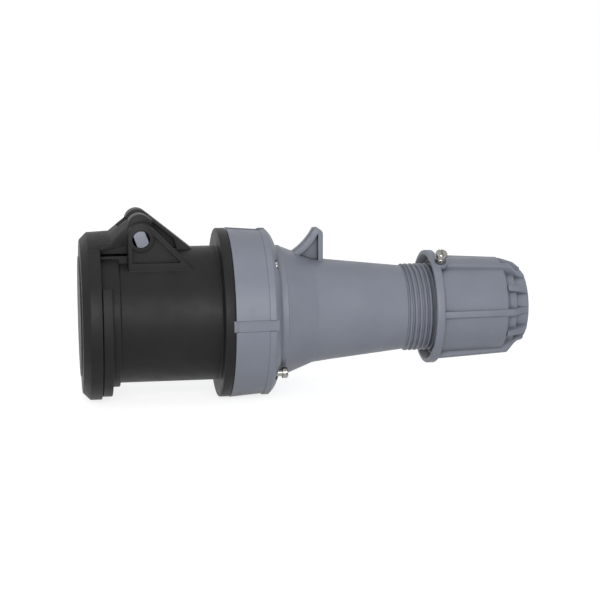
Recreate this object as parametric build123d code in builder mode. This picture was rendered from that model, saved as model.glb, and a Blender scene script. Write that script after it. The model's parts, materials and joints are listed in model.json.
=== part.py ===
"""Industrial power coupler: a pin and sleeve cable socket with a sprung lid.

Millimetres, +Z up. The axis of the coupler is X. The origin is the centre of
the socket's mouth, -X faces the plug and the cable leaves towards +X. The
hinge of the lid and the hook of the housing are on top.
"""

import math
import os

from build123d import *

os.makedirs("parts", exist_ok=True)

# Socket tube and its rings
plug_sleeve_r = 43.6        # outside of the sleeve of the plug that enters
sleeve_clearance = 0.7
shell_wall = 3.5
shell_bore_r = plug_sleeve_r + sleeve_clearance
shell_r = shell_bore_r + shell_wall
shell_length = 97.1         # mouth to the joint with the cable housing
mouth_ring_r = 50.6
mouth_ring_end = 20.1
bayonet_ring_r = 57.3
bayonet_ring_start = 7.6
bayonet_ring_end = 14.6
bayonet_gap_angle = 28.0    # where the ring ends, above the horizontal
flange_r = 60.2
flange_thickness = 7.3
flange_round = 1.2
keyway_width = 8.0
keyway_depth = 1.8
sleeve_depth = 61.0         # how far the plug's sleeve goes in
ledge_thickness = 9.0

# Lid
lid_r = 59.2
lid_wall = 3.5
lid_chamfer = 5.2
lid_gap = 0.3               # lid rim to bayonet ring
gasket_thickness = 2.4
gasket_gap = 0.1
gasket_width = 5.0
disc_r = 42.3
disc_height = 1.0

# Hinge
pin_x = 35.4
pin_over_tube = 6.9         # hinge axis over the mouth ring
pin_r = 4.9
pin_flats = 7.1
pin_lean = 20.0             # degrees, how far the flats lean
pin_clearance = 0.08
ear_inner_y = 25.0
ear_thickness = 7.0
ear_arch_r = 9.2
ear_arch_rise = 2.0         # arch centre above the pin
ear_diagonal_angle = 45.8
ear_rib = 3.0
ear_sill = 2.4              # solid strip of the ear over the tube
ear_panel_depth = 3.2
ear_boss_wall = 2.8
knuckle_crown_r = 17.5
knuckle_front_r = 16.0
knuckle_heel_r = 13.3
knuckle_front_angle = 136.0 # these four are turned from +X about the pin
crown_front_angle = 122.0
crown_rear_angle = 90.0
heel_angle = 51.4
knuckle_side_gap = 0.8
knuckle_hub_r = 8.3
arm_gap = 1.5               # arm over the mouth ring
arm_front_thickness = 4.8
arm_slope = 37.8
arm_blend_r = 6.0

# Ridge of the shell behind the knuckle
ridge_half = 10.0
ridge_gap = 0.8             # knuckle to ridge as the lid swings
ridge_drop_angle = 38.3
ridge_foot_gap = 30.5       # from the pin to where the ridge meets the tube

# Lid spring
wire_r = 0.8
spring_clearance = 0.8      # coil to pin
spring_pitch = 2.2
spring_turns = 5
spring_leg = 13.0
slot_half = 9.0
seat_gap = 0.1              # leg of the spring to what it presses on

# Contacts
contact_circle_r = 24.0
contact_count = 5
phase_pin_r = 5.0
earth_pin_r = 6.0
pilot_pin_r = 3.0
contact_wall = 1.8
pin_fit = 0.05
contact_front_x = 13.0
earth_front_x = 9.0
pilot_front_x = 24.0
contact_bore_depth = 46.0
finger_slot = 1.2
finger_length = 22.0
finger_ring_x = 4.0         # ring spring behind the front of the tube
finger_ring_width = 3.0
finger_ring_depth = 0.7
collar_step = 1.6
collar_length = 3.0
barrel_length = 29.0
barrel_step = 0.8
wire_bore_depth = 19.0
barrel_wall = 2.3
terminal_screw_r = 3.0
terminal_screw_spacing = 8.5

# Contact carrier and its plate
carrier_front_x = 6.0
carrier_r = 37.5
carrier_fit = 0.25
entry_clearance = 0.6
carrier_flange_thickness = 5.0
carrier_rear_x = 83.0
plate_thickness = 5.0
plate_r = 36.0
carrier_screw_count = 3
carrier_screw_r = 2.0
carrier_screw_head_r = 3.0
carrier_screw_head_height = 2.4
carrier_screw_floor = 1.5   # shell left under the blind holes
plate_screw_r = 1.75
plate_screw_head_r = 3.2
plate_screw_head_height = 2.2
plate_screw_depth = 9.0
plate_screw_circle_r = 31.0

# Joint between shell and cable housing
seal_inset = 3.1            # middle of the seal outside the tube's bore
seal_width = 3.0
seal_thickness = 2.5
screw_inset = 7.2           # screw circle inside the flange
screw_count = 4
screw_r = 2.5
screw_clearance = 0.3
screw_head_r = 3.9
screw_head_height = 4.2
screw_stand_off = 7.0       # of the two lower screws, which are not fully home
screw_grip = 5.4            # engagement in the insert
insert_wall = 1.2

# Cable housing
collar_overlap = 0.4        # collar over the flange
collar_draft = 1.8
collar_front_to_bead = 23.4
bead_height = 0.9
bead_length = 4.1
shoulder_depth = 6.2
shoulder_bow = 4.7
collar_top_r = 47.2
band_length = 4.4           # plain band between shoulder and cone
band_step = 0.7
cone_length = 22.7
neck_r = 37.8
neck_length = 13.5
taper_r = 36.1
taper_length = 53.6
spigot_r = 31.6
spigot_root_r = 30.5
spigot_length = 39.0
housing_wall = 4.0
wiring_r = 45.0
groove_width = 8.0
groove_depth = 1.2
tab_length = 1.5            # tab at the front of each groove, in a notch of the flange
tab_thickness = 1.4
tab_gap = 0.1
notch_r = 4.8                # pocket round the head of each housing screw

# Hook
hook_from_band = 8.3        # band to the front foot of the hook
hook_top_z = 59.4
hook_rise_length = 16.5
hook_crown_length = 6.0
hook_bend_drop = 10.0
hook_web = 3.4
hook_rim_width = 14.0
hook_rim_thickness = 3.4
hook_top_round = 4.5

# Gland
cable_hole_r = 22.5
bush_seat_depth = 24.0      # behind the end of the spigot
bush_r = 26.8
bush_fit = 0.2
bush_bore_r = 20.0
bush_length = 16.5
bush_chamfer = 1.2
thrust_gap = 3.9            # free travel before the bush is squeezed
thrust_reach = 37.0         # past the end of the spigot
finger_count = 8
clamp_finger_length = 26.0
clamp_finger_slot = 2.0
thrust_fit = 0.3
thrust_bore_r = 21.5
nut_open_turns = 17.1       # thread left bare in front of the nut
nut_rim_length = 6.2
nut_rim_r = 41.1
nut_rim_round = 1.2
nut_body_r = 36.2
nut_body_end_r = 34.9
nut_body_length = 53.3      # with the rim
nut_mouth_r = 38.0
nut_mouth_depth = 8.0
nut_thread_clearance = 0.15
nut_thread_length = 30.0
nut_length = 71.5
nut_sleeve_gap = 0.6        # round the thrust ring
nut_shoulder_r = 29.2
nut_end_ring_r = 27.4
nut_end_ring_length = 9.8
nut_exit_r = 23.5
rib_count = 6
rib_front_r = 39.8
rib_rear_r = 36.7
short_rib_r = 35.4
rib_width = 4.6
rib_end_r = 27.9
rib_chamfer_length = 13.4   # from the nut's end
short_rib_length = 17.0     # from the nut's end
lock_screw_depth = 6.4      # from the nut's front
lock_screw_angle = 60.0     # above the horizontal, on the side of -Y
lock_screw_r = 2.6
lock_head_r = 4.3
lock_head_height = 3.8
lock_boss_r = 5.6
lock_boss_top_r = 41.3
lock_collar_r = 4.1
lock_collar_height = 3.8
lock_collar_gap = 0.5       # bare shank under and over the collar


def radial_plane(angle, x=0.0):
    """A plane through the axis: local x along the axis, local y outwards at angle from +Z towards -Y."""
    out_y = -math.sin(math.radians(angle))
    out_z = math.cos(math.radians(angle))
    return Plane(origin=(x, 0, 0), x_dir=(1, 0, 0), z_dir=(0, -out_z, out_y))


def outward_plane(angle, x, radius):
    """A plane square to the radius at angle, at the given distance from the axis."""
    out_y = -math.sin(math.radians(angle))
    out_z = math.cos(math.radians(angle))
    return Plane(origin=(x, radius * out_y, radius * out_z), x_dir=(1, 0, 0), z_dir=(0, out_y, out_z))


def across(x):
    """A plane square to the axis at x, its local y upwards."""
    return Plane(origin=(x, 0, 0), x_dir=(0, 1, 0), z_dir=(1, 0, 0))


def save(part, name):
    part.label = name
    export_step(part, f"parts/{name}.step")


pin_z = mouth_ring_r + pin_over_tube
seal_r = shell_bore_r + seal_inset
screw_circle_r = flange_r - screw_inset
collar_front_r = flange_r + collar_overlap
collar_rear_r = collar_front_r - collar_draft
bead_r = collar_rear_r + bead_height
collar_end_x = shell_length + collar_front_to_bead + bead_length
shoulder_x = collar_end_x + shoulder_depth
band_end_x = shoulder_x + band_length
neck_x = band_end_x + cone_length
taper_x = neck_x + neck_length
spigot_x = taper_x + taper_length
spigot_end_x = spigot_x + spigot_length
hook_front_x = band_end_x + hook_from_band
hook_tip_x = hook_front_x + hook_rise_length
hook_rear_x = hook_tip_x + hook_crown_length
bush_seat_x = spigot_end_x - bush_seat_depth
thrust_end_x = spigot_end_x + thrust_reach
nut_front_x = spigot_x + nut_open_turns
nut_end_x = nut_front_x + nut_length
rib_chamfer_x = nut_end_x - rib_chamfer_length
lock_screw_x = nut_front_x + lock_screw_depth

flange_x = shell_length - flange_thickness
ledge_x = sleeve_depth
carrier_seat_x = ledge_x + ledge_thickness
ear_outer_y = ear_inner_y + ear_thickness
arch_x = pin_x
arch_z = pin_z + ear_arch_rise
ear_front_x = arch_x - ear_arch_r
carrier_screw_circle_r = (carrier_r + shell_bore_r) / 2

# Socket shell
with BuildPart() as socket_shell:
    # two hinge ears
    with BuildSketch(Plane.XZ.offset(ear_inner_y)) as ear_outline:
        with Locations((arch_x, arch_z)):
            Circle(ear_arch_r)
        tangent_x = arch_x + ear_arch_r * math.sin(math.radians(ear_diagonal_angle))
        tangent_z = arch_z + ear_arch_r * math.cos(math.radians(ear_diagonal_angle))
        ear_low_z = math.sqrt(shell_r**2 - ear_outer_y**2) - shell_wall / 3
        ear_foot_low_x = tangent_x + (tangent_z - ear_low_z) / math.tan(math.radians(ear_diagonal_angle))
        Polygon(
            (ear_front_x, arch_z),
            (arch_x, arch_z),
            (tangent_x, tangent_z),
            (ear_foot_low_x, ear_low_z),
            (ear_front_x, ear_low_z),
            align=None,
        )
    extrude(amount=ear_thickness)
    with BuildSketch(Plane.XZ.offset(-ear_outer_y)):
        add(ear_outline.sketch_local)
    extrude(amount=ear_thickness)
    # bridge between the ears, under the arm of the lid
    with BuildSketch(Plane.XZ.offset(-ear_inner_y)):
        with BuildLine():
            Polyline(
                (bayonet_ring_start, shell_r * 0.8),
                (bayonet_ring_start, pin_z - knuckle_hub_r - arm_gap),
                (pin_x + knuckle_crown_r, pin_z - knuckle_hub_r - arm_gap),
                (pin_x + 2 * knuckle_crown_r, shell_r * 0.8),
                close=True,
            )
        make_face()
    extrude(amount=2 * ear_inner_y)
    # ridge that carries the line of the knuckle down to the tube
    with BuildSketch(Plane.XZ.offset(-ridge_half)):
        ridge_front_x = pin_x + knuckle_crown_r + ridge_gap
        ridge_foot_x = pin_x + ridge_foot_gap + knuckle_hub_r / 2
        ridge_slope = math.tan(math.radians(ridge_drop_angle))
        ridge_front_z = shell_r + (ridge_foot_x - ridge_front_x) * ridge_slope
        Polygon(
            (ridge_front_x, shell_r * 0.8),
            (ridge_front_x, ridge_front_z),
            (ridge_foot_x, shell_r),
            (ridge_foot_x, shell_r * 0.8),
            align=None,
        )
    extrude(amount=2 * ridge_half)
    # both end in the wall of the tube
    with BuildSketch(across(0)):
        Circle(shell_r - shell_wall / 3)
    extrude(amount=shell_length, mode=Mode.SUBTRACT)
    # tube, rings, ledge and flange
    with BuildSketch(Plane.XZ):
        with BuildLine():
            Polyline(
                (0, shell_bore_r),
                (0, mouth_ring_r),
                (mouth_ring_end, mouth_ring_r),
                (mouth_ring_end, shell_r),
                (flange_x, shell_r),
                (flange_x, flange_r),
                (shell_length, flange_r),
                (shell_length, shell_bore_r),
                (carrier_seat_x, shell_bore_r),
                (carrier_seat_x, carrier_r + carrier_fit),
                (ledge_x, carrier_r + carrier_fit),
                (ledge_x, shell_bore_r),
                close=True,
            )
        make_face()
    revolve(axis=Axis.X)
    # the bayonet ring, open on top where the hinge is
    with BuildSketch(across(bayonet_ring_start)):
        Circle(bayonet_ring_r)
        Circle(mouth_ring_r - 1, mode=Mode.SUBTRACT)
        gap_half_y = bayonet_ring_r * math.cos(math.radians(bayonet_gap_angle))
        gap_low_z = bayonet_ring_r * math.sin(math.radians(bayonet_gap_angle))
        Polygon(
            (0, 0),
            (2 * gap_half_y, 2 * gap_low_z),
            (0, 2 * bayonet_ring_r),
            (-2 * gap_half_y, 2 * gap_low_z),
            align=None,
            mode=Mode.SUBTRACT,
        )
    extrude(amount=bayonet_ring_end - bayonet_ring_start)
    # the rounds of the flange
    flange_edges = socket_shell.edges().filter_by(GeomType.CIRCLE).filter_by(
        lambda edge: abs(edge.radius - flange_r) < 0.01
    )
    fillet(flange_edges, flange_round)
    # pin bore through both ears
    with BuildSketch(Plane.XZ.offset(ear_outer_y)):
        with Locations((pin_x, pin_z)):
            Circle(pin_r + pin_clearance)
    extrude(amount=-2 * ear_outer_y, mode=Mode.SUBTRACT)
    # recessed triangle on the outer face of each ear, round the boss of the pin
    with BuildSketch(Plane.XZ.offset(ear_outer_y)) as ear_panel:
        # its long side runs beside the ear's own, one rib inside it
        panel_low_z = ear_low_z + shell_wall / 3 + ear_sill
        panel_slope = math.tan(math.radians(ear_diagonal_angle))
        panel_top_x = tangent_x - ear_rib * math.sin(math.radians(ear_diagonal_angle))
        panel_top_z = tangent_z - ear_rib * math.cos(math.radians(ear_diagonal_angle))
        Polygon(
            (ear_front_x + ear_rib, arch_z),
            (panel_top_x - ear_rib, panel_top_z),
            (panel_top_x, panel_top_z),
            (panel_top_x + (panel_top_z - panel_low_z) / panel_slope, panel_low_z),
            (ear_front_x + ear_rib, panel_low_z),
            align=None,
        )
        with Locations((pin_x, pin_z)):
            Circle(pin_r + ear_boss_wall, mode=Mode.SUBTRACT)
    extrude(amount=-ear_panel_depth, mode=Mode.SUBTRACT)
    with BuildSketch(Plane.XZ.offset(-ear_outer_y)):
        add(ear_panel.sketch_local)
    extrude(amount=ear_panel_depth, mode=Mode.SUBTRACT)
    # keyway for the plug's key at six o'clock
    with BuildSketch(across(0)):
        with Locations((0, -shell_bore_r)):
            Rectangle(keyway_width, 2 * keyway_depth)
    extrude(amount=ledge_x, mode=Mode.SUBTRACT)
    # notches in the flange for the tabs of the cable housing
    for angle in (0, 90, 180, 270):
        with BuildSketch(outward_plane(angle, shell_length, flange_r - tab_thickness - tab_gap)):
            Rectangle(2 * (tab_length + tab_gap), groove_width + 2 * tab_gap)
        extrude(amount=2 * tab_thickness, mode=Mode.SUBTRACT)
    # seal groove and insert holes in the joint face
    with BuildSketch(across(shell_length)):
        Circle(seal_r + seal_width / 2)
        Circle(seal_r - seal_width / 2, mode=Mode.SUBTRACT)
    extrude(amount=-seal_thickness, mode=Mode.SUBTRACT)
    with BuildSketch(across(shell_length)):
        with PolarLocations(screw_circle_r, screw_count, start_angle=45):
            Circle(screw_r + insert_wall)
    extrude(amount=-screw_grip, mode=Mode.SUBTRACT)
    # blind holes for the carrier screws
    with BuildSketch(across(carrier_seat_x)):
        with PolarLocations(carrier_screw_circle_r, carrier_screw_count, start_angle=90):
            Circle(carrier_screw_r)
    extrude(amount=-(ledge_thickness - carrier_screw_floor), mode=Mode.SUBTRACT)
save(socket_shell.part, "socket_shell")

# Lid: plate, rim, arm and knuckle in one moulding
lid_rear_x = bayonet_ring_start - lid_gap
plate_inner_x = -gasket_gap - gasket_thickness
plate_outer_x = plate_inner_x - lid_wall
rim_inner_r = lid_r - lid_wall
knuckle_half = ear_inner_y - knuckle_side_gap
arm_under_r = mouth_ring_r + arm_gap
arm_under_z = pin_z - knuckle_hub_r
arm_start_z = arm_under_z + arm_front_thickness


def about_pin(radius, angle):
    turn = math.radians(angle)
    return (pin_x + radius * math.cos(turn), pin_z + radius * math.sin(turn))


front_point = about_pin(knuckle_front_r, knuckle_front_angle)
arm_start_x = front_point[0] - (front_point[1] - arm_start_z) / math.tan(math.radians(arm_slope))
with BuildPart() as lid:
    # arm and knuckle, as wide as the space between the ears
    with BuildSketch(Plane.XZ.offset(-knuckle_half)):
        with BuildLine():
            crown_start = about_pin(knuckle_crown_r, crown_front_angle)
            crown_end = about_pin(knuckle_crown_r, crown_rear_angle)
            crown_middle = about_pin(knuckle_crown_r, (crown_front_angle + crown_rear_angle) / 2)
            ThreePointArc(crown_start, crown_middle, crown_end)
            Polyline(
                crown_end,
                about_pin(knuckle_heel_r, heel_angle),
                about_pin(knuckle_hub_r, heel_angle),
                (pin_x, pin_z),
                (pin_x, arm_under_z),
                (plate_inner_x, arm_under_z),
                (plate_inner_x, arm_start_z),
                (arm_start_x, arm_start_z),
                front_point,
                crown_start,
            )
        make_face()
        with Locations((pin_x, pin_z)):
            Circle(knuckle_hub_r)
    extrude(amount=2 * knuckle_half)
    blend_edge = lid.edges().filter_by(Axis.Y).sort_by(
        lambda edge: abs(edge.center().X - arm_start_x) + abs(edge.center().Z - arm_start_z)
    )[0]
    fillet(blend_edge, arm_blend_r)
    # the arm is hollowed to run over the mouth ring
    with BuildSketch(Plane.XZ):
        Rectangle(pin_x, arm_under_r, align=(Align.MIN, Align.MIN))
    revolve(axis=Axis.X, mode=Mode.SUBTRACT)
    with BuildSketch(Plane.XZ.offset(-knuckle_half)):
        with Locations((pin_x, pin_z)):
            Circle(knuckle_hub_r)
    extrude(amount=2 * knuckle_half)
    # plate and rim
    with BuildSketch(Plane.XZ):
        with BuildLine():
            Polyline(
                (plate_outer_x - disc_height, 0),
                (plate_outer_x - disc_height, disc_r),
                (plate_outer_x, disc_r + disc_height),
                (plate_outer_x, lid_r - lid_chamfer),
                (plate_outer_x + lid_chamfer, lid_r),
                (lid_rear_x, lid_r),
                (lid_rear_x, rim_inner_r),
                (plate_inner_x, rim_inner_r),
                (plate_inner_x, 0),
                close=True,
            )
        make_face()
    revolve(axis=Axis.X)
    # the arm joins the rim, which stays open round the mouth
    with BuildSketch(across(plate_inner_x)):
        Circle(mouth_ring_r + arm_gap)
    extrude(amount=lid_rear_x - plate_inner_x, mode=Mode.SUBTRACT)
    # bore for the pin and slot for the spring
    with BuildSketch(Plane.XZ.offset(-knuckle_half)):
        with Locations((pin_x, pin_z)):
            Circle(pin_r + pin_clearance)
    extrude(amount=2 * knuckle_half, mode=Mode.SUBTRACT)
    slot_front_x = pin_x - spring_leg - 2
    slot_floor_z = arm_under_r + 2.2
    with BuildSketch(Plane.XZ.offset(-slot_half)):
        with BuildLine():
            Polyline(
                (slot_front_x, slot_floor_z),
                (slot_front_x, pin_z + knuckle_crown_r + 1),
                (pin_x + knuckle_crown_r + 1, pin_z + knuckle_crown_r + 1),
                (pin_x + knuckle_crown_r + 1, pin_z - knuckle_hub_r - 1),
                (pin_x - knuckle_hub_r - 0.5, pin_z - knuckle_hub_r - 1),
                (pin_x - knuckle_hub_r - 0.5, slot_floor_z),
                close=True,
            )
        make_face()
    extrude(amount=2 * slot_half, mode=Mode.SUBTRACT)
save(lid.part, "lid")

with BuildPart() as lid_gasket:
    gasket_mid_r = (shell_bore_r + mouth_ring_r) / 2
    with BuildSketch(across(plate_inner_x)):
        Circle(gasket_mid_r + gasket_width / 2)
        Circle(gasket_mid_r - gasket_width / 2, mode=Mode.SUBTRACT)
    extrude(amount=gasket_thickness)
    sealing_edges = lid_gasket.edges().filter_by(GeomType.CIRCLE).group_by(Axis.X)[-1]
    chamfer(sealing_edges, 0.6)
save(lid_gasket.part, "lid_gasket")

with BuildPart() as hinge_pin:
    with BuildSketch(Plane.XZ.offset(-ear_outer_y)):
        with Locations((pin_x, pin_z)):
            Circle(pin_r)
            Rectangle(pin_flats, 3 * pin_r, rotation=pin_lean, mode=Mode.INTERSECT)
    extrude(amount=2 * ear_outer_y)
    chamfer(hinge_pin.edges().group_by(Axis.Y)[0] + hinge_pin.edges().group_by(Axis.Y)[-1], 0.5)
save(hinge_pin.part, "hinge_pin")

# Torsion spring: coils round the pin, one leg on the arm and one on the shell
coil_r = pin_r + spring_clearance + wire_r
front_leg = (-spring_leg, slot_floor_z + wire_r + seat_gap - pin_z)
rear_leg = (spring_leg, shell_r + wire_r + seat_gap - pin_z)
front_reach = math.hypot(*front_leg)
rear_reach = math.hypot(*rear_leg)
front_angle = math.degrees(math.atan2(front_leg[1], front_leg[0]) - math.acos(coil_r / front_reach))
rear_angle = math.degrees(math.atan2(rear_leg[1], rear_leg[0]) + math.acos(coil_r / rear_reach))
spring_sweep = 360 * spring_turns + (front_angle - rear_angle) % 360
coil_height = spring_pitch * spring_sweep / 360
with BuildPart() as lid_spring:
    with BuildLine():
        helix = Helix(
            pitch=spring_pitch,
            height=coil_height,
            radius=coil_r,
            center=(pin_x, -coil_height / 2, pin_z),
            direction=(0, 1, 0),
            mode=Mode.PRIVATE,
        )
        hinge_axis = Axis((pin_x, 0, pin_z), (0, 1, 0))
        coil = helix.rotate(hinge_axis, 90 - front_angle)
        add(coil)
        coil_start = coil @ 0
        coil_end = coil @ 1
        front_leg_length = math.sqrt(front_reach**2 - coil_r**2)
        rear_leg_length = math.sqrt(rear_reach**2 - coil_r**2)
        leg_tip = coil_start - (coil % 0) * front_leg_length
        Line(leg_tip, coil_start)
        Line(coil_end, coil_end + (coil % 1) * rear_leg_length)
    with BuildSketch(Plane(origin=leg_tip, z_dir=coil % 0)):
        Circle(wire_r)
    sweep()
save(lid_spring.part, "lid_spring")

# Contacts: slotted tube in front, collar, and a barrel for the wire behind
collar_x = carrier_rear_x - collar_length
pole_angles = [180 + 360 / contact_count * i for i in range(contact_count)]
pole_names = ["contact_earth", "contact_l1", "contact_l2", "contact_l3", "contact_n"]
pole_pin_r = [earth_pin_r] + [phase_pin_r] * (contact_count - 1)
pole_front_x = [earth_front_x] + [contact_front_x] * (contact_count - 1)


def tube_r(pin_radius):
    return pin_radius + pin_fit + contact_wall


def collar_r(pin_radius):
    return tube_r(pin_radius) + collar_step


def barrel_r(pin_radius):
    return tube_r(pin_radius) + barrel_step


def pole_centre(angle):
    """Where a contact's axis crosses the plane of the mouth."""
    turn = math.radians(angle)
    return (0, -contact_circle_r * math.sin(turn), contact_circle_r * math.cos(turn))


def contact(centre, pin_radius, front_x, outward):
    """One contact; its terminal screws point outward, an angle like those of the poles."""
    turn = math.radians(outward)
    screw_dir = (0, -math.sin(turn), math.cos(turn))
    with BuildPart() as made:
        with BuildSketch(Plane(origin=(front_x, centre[1], centre[2]), x_dir=(0, 1, 0), z_dir=(1, 0, 0))):
            Circle(tube_r(pin_radius))
        extrude(amount=collar_x - front_x + collar_length / 2)
        with BuildSketch(Plane(origin=(collar_x, centre[1], centre[2]), x_dir=(0, 1, 0), z_dir=(1, 0, 0))):
            Circle(collar_r(pin_radius))
        extrude(amount=collar_length)
        barrel_plane = Plane(origin=(carrier_rear_x, centre[1], centre[2]), x_dir=(0, 1, 0), z_dir=(1, 0, 0))
        with BuildSketch(barrel_plane):
            Circle(barrel_r(pin_radius))
        extrude(amount=barrel_length)
        # bores for the pin and for the wire
        with BuildSketch(Plane(origin=(front_x, centre[1], centre[2]), x_dir=(0, 1, 0), z_dir=(1, 0, 0))):
            Circle(pin_radius + pin_fit)
        extrude(amount=contact_bore_depth, mode=Mode.SUBTRACT)
        with BuildSketch(barrel_plane.offset(barrel_length)):
            Circle(barrel_r(pin_radius) - barrel_wall)
        extrude(amount=-wire_bore_depth, mode=Mode.SUBTRACT)
        # groove for the ring spring
        with BuildSketch(barrel_plane.offset(front_x + finger_ring_x - carrier_rear_x)):
            Circle(tube_r(pin_radius) + 1)
            Circle(tube_r(pin_radius) - finger_ring_depth, mode=Mode.SUBTRACT)
        extrude(amount=finger_ring_width, mode=Mode.SUBTRACT)
        # two crossing slots part the front of the tube into four fingers
        with BuildSketch(Plane(origin=(front_x, centre[1], centre[2]), x_dir=screw_dir, z_dir=(1, 0, 0))):
            Rectangle(3 * tube_r(pin_radius), finger_slot)
            Rectangle(finger_slot, 3 * tube_r(pin_radius))
        extrude(amount=finger_length, mode=Mode.SUBTRACT)
        # threaded holes for the two terminal screws
        for x in terminal_screw_x:
            with BuildSketch(Plane(origin=(x, centre[1], centre[2]), x_dir=(1, 0, 0), z_dir=screw_dir)):
                Circle(terminal_screw_r)
            extrude(amount=2 * barrel_r(pin_radius), mode=Mode.SUBTRACT)
    return made.part


barrel_end_x = carrier_rear_x + barrel_length
terminal_screw_x = [barrel_end_x - 5.0, barrel_end_x - 5.0 - terminal_screw_spacing]
for name, angle, pin_radius, front_x in zip(pole_names, pole_angles, pole_pin_r, pole_front_x):
    save(contact(pole_centre(angle), pin_radius, front_x, angle), name)
save(contact((0, 0, 0), pilot_pin_r, pilot_front_x, 0), "contact_pilot")

# Ring springs in the grooves of the pole contacts, each with a gap
with BuildPart() as contact_rings:
    for angle, pin_radius, front_x in zip(pole_angles, pole_pin_r, pole_front_x):
        centre = pole_centre(angle)
        ring_x = front_x + finger_ring_x
        with BuildSketch(Plane(origin=(ring_x, centre[1], centre[2]), x_dir=(0, 1, 0), z_dir=(1, 0, 0))):
            Circle(tube_r(pin_radius) - 0.05)
            Circle(tube_r(pin_radius) - finger_ring_depth, mode=Mode.SUBTRACT)
            with Locations((0, tube_r(pin_radius))):
                Rectangle(finger_slot, 2 * finger_ring_depth + 0.5, mode=Mode.SUBTRACT)
        extrude(amount=finger_ring_width)
save(contact_rings.part, "contact_rings")

# Terminal screws, two in each barrel
with BuildPart() as terminal_screws:
    for angle, pin_radius in zip(pole_angles, pole_pin_r):
        centre = pole_centre(angle)
        turn = math.radians(angle)
        screw_dir = (0, -math.sin(turn), math.cos(turn))
        for x in terminal_screw_x:
            screw_plane = Plane(origin=(x, centre[1], centre[2]), x_dir=(1, 0, 0), z_dir=screw_dir)
            tip = barrel_r(pin_radius) - barrel_wall - 0.5
            with BuildSketch(screw_plane.offset(tip)):
                Circle(terminal_screw_r)
            extrude(amount=barrel_wall + 1.0)
            with BuildSketch(screw_plane.offset(tip + barrel_wall + 1.0)):
                Rectangle(2 * terminal_screw_r, 0.9)
            extrude(amount=-0.9, mode=Mode.SUBTRACT)
save(terminal_screws.part, "terminal_screws")

# Contact carrier
entry_depth = 6.0
with BuildPart() as contact_carrier:
    with BuildSketch(across(carrier_front_x)):
        Circle(carrier_r)
        with Locations((0, -carrier_r)):
            Rectangle(keyway_width - 1, 2 * keyway_depth, mode=Mode.SUBTRACT)
    extrude(amount=carrier_rear_x - carrier_front_x)
    chamfer(contact_carrier.faces().sort_by(Axis.X)[0].edges(), 0.8)
    with BuildSketch(across(carrier_seat_x)):
        Circle(shell_bore_r - carrier_fit)
    extrude(amount=carrier_flange_thickness)
    pilot = [((0, 0, 0), pilot_pin_r, pilot_front_x)]
    poles = [(pole_centre(a), r, f) for a, r, f in zip(pole_angles, pole_pin_r, pole_front_x)]
    for centre, pin_radius, front_x in poles + pilot:
        for x, radius, depth in (
            (carrier_front_x, pin_radius + entry_clearance, front_x - carrier_front_x),
            (front_x - carrier_fit, tube_r(pin_radius) + carrier_fit, carrier_rear_x),
            (collar_x, collar_r(pin_radius) + carrier_fit, collar_length),
        ):
            with BuildSketch(Plane(origin=(x, centre[1], centre[2]), x_dir=(0, 1, 0), z_dir=(1, 0, 0))):
                Circle(radius)
            extrude(amount=depth, mode=Mode.SUBTRACT)
    with BuildSketch(across(carrier_seat_x)):
        with PolarLocations(carrier_screw_circle_r, carrier_screw_count, start_angle=90):
            Circle(carrier_screw_r + carrier_fit)
    extrude(amount=carrier_flange_thickness, mode=Mode.SUBTRACT)
    with BuildSketch(across(carrier_rear_x)):
        with PolarLocations(plate_screw_circle_r, contact_count, start_angle=90):
            Circle(plate_screw_r)
    extrude(amount=-plate_screw_depth, mode=Mode.SUBTRACT)
save(contact_carrier.part, "contact_carrier")

with BuildPart() as terminal_plate:
    with BuildSketch(across(carrier_rear_x)):
        Circle(plate_r)
        for centre, pin_radius, front_x in poles + pilot:
            with Locations((centre[1], centre[2])):
                Circle(barrel_r(pin_radius) + carrier_fit, mode=Mode.SUBTRACT)
        with PolarLocations(plate_screw_circle_r, contact_count, start_angle=90):
            Circle(plate_screw_r + carrier_fit, mode=Mode.SUBTRACT)
    extrude(amount=plate_thickness)
save(terminal_plate.part, "terminal_plate")


def headed_screws(circles, angles, seat_x, radius, length, head_radius, head_height):
    """Screws parallel to the axis, heads towards +X, with a slot in each; angles turn from +Y to +Z."""
    spots = [
        (circle * math.cos(math.radians(angle)), circle * math.sin(math.radians(angle)))
        for circle in circles
        for angle in angles
    ]
    with BuildPart() as made:
        with BuildSketch(across(seat_x)):
            with Locations(*spots):
                Circle(radius)
        extrude(amount=-length)
        with BuildSketch(across(seat_x)):
            with Locations(*spots):
                Circle(head_radius)
        extrude(amount=head_height)
        chamfer(made.edges().filter_by(GeomType.CIRCLE).group_by(Axis.X)[-1], head_height * 0.25)
        with BuildSketch(across(seat_x + head_height)):
            with Locations(*spots):
                Rectangle(2 * head_radius, head_radius * 0.28)
        extrude(amount=-head_height * 0.45, mode=Mode.SUBTRACT)
    return made.part


carrier_flange_rear_x = carrier_seat_x + carrier_flange_thickness
carrier_screw_angles = [90 + 360 / carrier_screw_count * i for i in range(carrier_screw_count)]
save(
    headed_screws(
        [carrier_screw_circle_r], carrier_screw_angles, carrier_flange_rear_x,
        carrier_screw_r, carrier_flange_thickness + ledge_thickness - carrier_screw_floor - 1.0,
        carrier_screw_head_r, carrier_screw_head_height,
    ),
    "carrier_screws",
)
plate_screw_angles = [90 + 360 / contact_count * i for i in range(contact_count)]
save(
    headed_screws(
        [plate_screw_circle_r], plate_screw_angles, carrier_rear_x + plate_thickness,
        plate_screw_r, plate_thickness + plate_screw_depth - 1.0,
        plate_screw_head_r, plate_screw_head_height,
    ),
    "plate_screws",
)

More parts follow.
